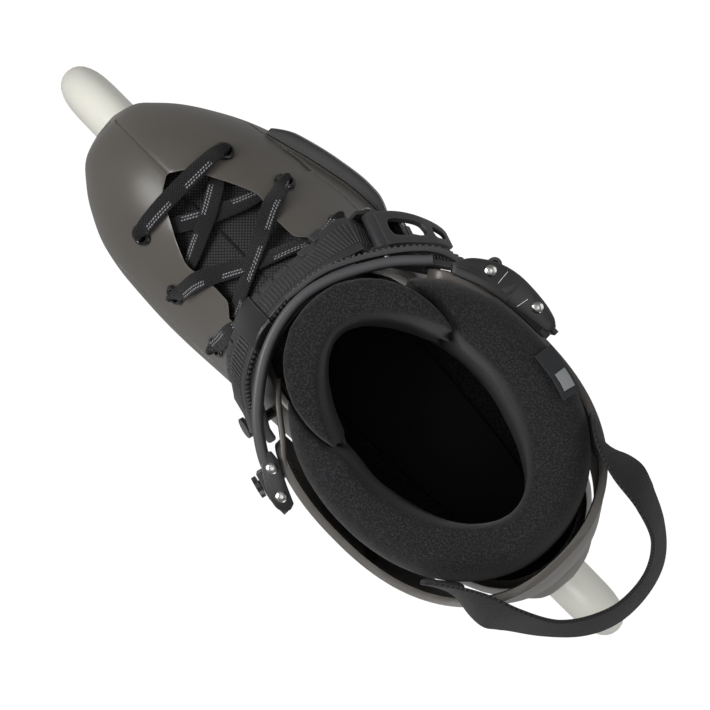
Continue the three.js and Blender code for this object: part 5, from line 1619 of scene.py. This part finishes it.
def build_instep_lever():
    """Thumb lever with two rounded windows, and rivets on the buckle's cheeks."""
    side = [(6.4, 9.2), (5, 12.2), (-4, 14.8), (-14, 15.8), (-24, 15.2), (-33.5, 12.6),
            (-34, 10.8), (-24, 12.8), (-14, 13.2), (-4, 12.2)]
    half = [(9, 0), (9, 10), (2, 10.2), (-8, 9.8), (-16, 8.6), (-24, 7.2), (-31, 6.2), (-34.5, 3.5),
            (-35.2, 0)]
    plan = half + [(x, -y) for x, y in reversed(half[1:-1])]
    lever = side_prism("Instep Lever", rounded_outline(side, 4, 0.4), -10.2, 10.2,
                       MATERIALS["strap"])
    carve(lever, plan_prism("Plan", rounded_outline(plan, 4, 0.4), 5, 20), operation="INTERSECT")
    neck = turned("Neck", (6.4, -10.2, 8), (0, 1, 0), [(0, 3), (20.4, 3)], 32, None)
    carve(lever, neck, operation="UNION")
    windows = [[(-16, -4.6), (1, -6), (2.5, 0), (1, 6), (-16, 4.6), (-18, 0)],
               [(-29, -2.4), (-22.5, -3.8), (-21.5, 0), (-22.5, 3.8), (-29, 2.4), (-30, 0)]]
    carve(lever, *[plan_prism("Window", rounded_outline(w, 5, 0.35), 5, 20) for w in windows])
    carve(lever, turned("Bore", (6.4, -12, 8), (0, 1, 0), [(0, 1.9), (24, 1.9)], 24, None))
    soften(lever, 0.7, 3, 40)
    to_buckle(lever)
    ride(lever, "instep_lever", "strap_plastic", "instep_lever")
    for i, (x, z) in enumerate(((6.4, 8), (-12.5, 7.4))):
        for side_of in (1, -1):
            at = in_buckle(x, z, side_of * 13.2)
            rivet(f"Buckle Rivet {i} {'ab'[side_of > 0]}", at, INSTEP_ACROSS * side_of, "boot")


def build_buckles():
    """Both buckles, their pins and the strap bolts."""
    build_cuff_buckle()
    build_cuff_lever()
    build_cuff_anchor()
    build_cuff_flaps()
    build_instep_lever()
    paint(["instep_buckle_base", "instep_catch", "cuff_strap_anchor"], "black", 0.4)
    paint(["instep_lever_pin", "instep_catch_pin", "cuff_bolt_inside", "cuff_bolt_outside",
           "cuff_nut_inside", "cuff_nut_outside"], "steel", 0.35)
    paint(["cuff_strap_bolt", "instep_strap_bolt"], "black", 0.35)


def ready(context):
    """Makes the shared materials before the first piece."""
    if not MATERIALS:
        make_materials(context.scene.skate)


class SKATE_OT_wheels(bpy.types.Operator):
    """Makes the tyres, hubs and bearing shields."""

    bl_idname = "skate.wheels"
    bl_label = "Wheels"

    def execute(self, context):
        ready(context)
        build_wheels()
        return {"FINISHED"}


class SKATE_OT_frame(bpy.types.Operator):
    """Finishes the frame and the bolts that hold it."""

    bl_idname = "skate.frame"
    bl_label = "Frame"

    def execute(self, context):
        ready(context)
        build_frame()
        return {"FINISHED"}


class SKATE_OT_shell(bpy.types.Operator):
    """Makes the moulded shell."""

    bl_idname = "skate.shell"
    bl_label = "Shell"

    def execute(self, context):
        ready(context)
        build_shell()
        return {"FINISHED"}


class SKATE_OT_eyelets(bpy.types.Operator):
    """Makes the six eyelets."""

    bl_idname = "skate.eyelets"
    bl_label = "Eyelets"

    def execute(self, context):
        ready(context)
        build_eyelets()
        return {"FINISHED"}


class SKATE_OT_lace(bpy.types.Operator):
    """Makes the flat lace."""

    bl_idname = "skate.lace"
    bl_label = "Lace"

    def execute(self, context):
        ready(context)
        build_lace(in_mm(context.scene.skate.lace_width))
        return {"FINISHED"}


class SKATE_OT_liner(bpy.types.Operator):
    """Makes the liner, tongue, footbed and collar."""

    bl_idname = "skate.liner"
    bl_label = "Liner"

    def execute(self, context):
        ready(context)
        build_liner()
        return {"FINISHED"}


class SKATE_OT_cuff(bpy.types.Operator):
    """Makes the hinged cuff."""

    bl_idname = "skate.cuff"
    bl_label = "Cuff"

    def execute(self, context):
        ready(context)
        build_cuff()
        return {"FINISHED"}


class SKATE_OT_instep_strap(bpy.types.Operator):
    """Makes the strap over the instep."""

    bl_idname = "skate.instep_strap"
    bl_label = "Instep strap"

    def execute(self, context):
        ready(context)
        build_instep_strap()
        return {"FINISHED"}


class SKATE_OT_cuff_strap(bpy.types.Operator):
    """Makes the strap round the cuff."""

    bl_idname = "skate.cuff_strap"
    bl_label = "Cuff strap"

    def execute(self, context):
        ready(context)
        build_cuff_strap()
        return {"FINISHED"}


class SKATE_OT_buckles(bpy.types.Operator):
    """Makes both buckles and finishes their bolts."""

    bl_idname = "skate.buckles"
    bl_label = "Buckles"

    def execute(self, context):
        ready(context)
        build_buckles()
        return {"FINISHED"}


class SKATE_OT_slider(bpy.types.Operator):
    """Makes the rub strip on the outer side."""

    bl_idname = "skate.slider"
    bl_label = "Rub strip"

    def execute(self, context):
        ready(context)
        build_slider()
        return {"FINISHED"}


class SKATE_OT_loop(bpy.types.Operator):
    """Makes the pull loop and the label."""

    bl_idname = "skate.loop"
    bl_label = "Pull loop"

    def execute(self, context):
        ready(context)
        build_loop(in_mm(context.scene.skate.loop_width))
        build_label()
        return {"FINISHED"}


class SKATE_OT_stage(bpy.types.Operator):
    """Makes the floor, the lights and the camera."""

    bl_idname = "skate.stage"
    bl_label = "Stage"

    def execute(self, context):
        ready(context)
        build_stage(context.scene.skate)
        return {"FINISHED"}


OPERATORS = (
    SKATE_OT_wheels, SKATE_OT_frame, SKATE_OT_shell, SKATE_OT_eyelets, SKATE_OT_lace,
    SKATE_OT_liner, SKATE_OT_cuff, SKATE_OT_instep_strap, SKATE_OT_cuff_strap,
    SKATE_OT_buckles, SKATE_OT_slider, SKATE_OT_loop, SKATE_OT_stage)


class SKATE_PT_panel(bpy.types.Panel):
    """Sidebar panel with the settings and one button for each group of pieces."""

    bl_label = "Inline skate"
    bl_space_type = "VIEW_3D"
    bl_region_type = "UI"
    bl_category = "Skate"

    def draw(self, context):
        for key in SkateSettings.__annotations__:
            self.layout.prop(context.scene.skate, key)
        for operator in OPERATORS:
            self.layout.operator(operator.bl_idname)


CLASSES = (SkateSettings, *OPERATORS, SKATE_PT_panel)


def register():
    """Registers the add-on's classes and settings."""
    for cls in CLASSES:
        bpy.utils.register_class(cls)
    bpy.types.Scene.skate = bpy.props.PointerProperty(type=SkateSettings)


def unregister():
    """Removes the add-on's classes and settings."""
    del bpy.types.Scene.skate
    for cls in reversed(CLASSES):
        bpy.utils.unregister_class(cls)


def main():
    """Builds the whole skate."""
    register()
    for name in ("Cube", "Light", "Camera"):
        if name in bpy.data.objects:
            bpy.data.objects.remove(bpy.data.objects[name])
    for operator in OPERATORS:
        getattr(bpy.ops.skate, operator.bl_idname.split(".")[1])()


if __name__ == "__main__":
    main()
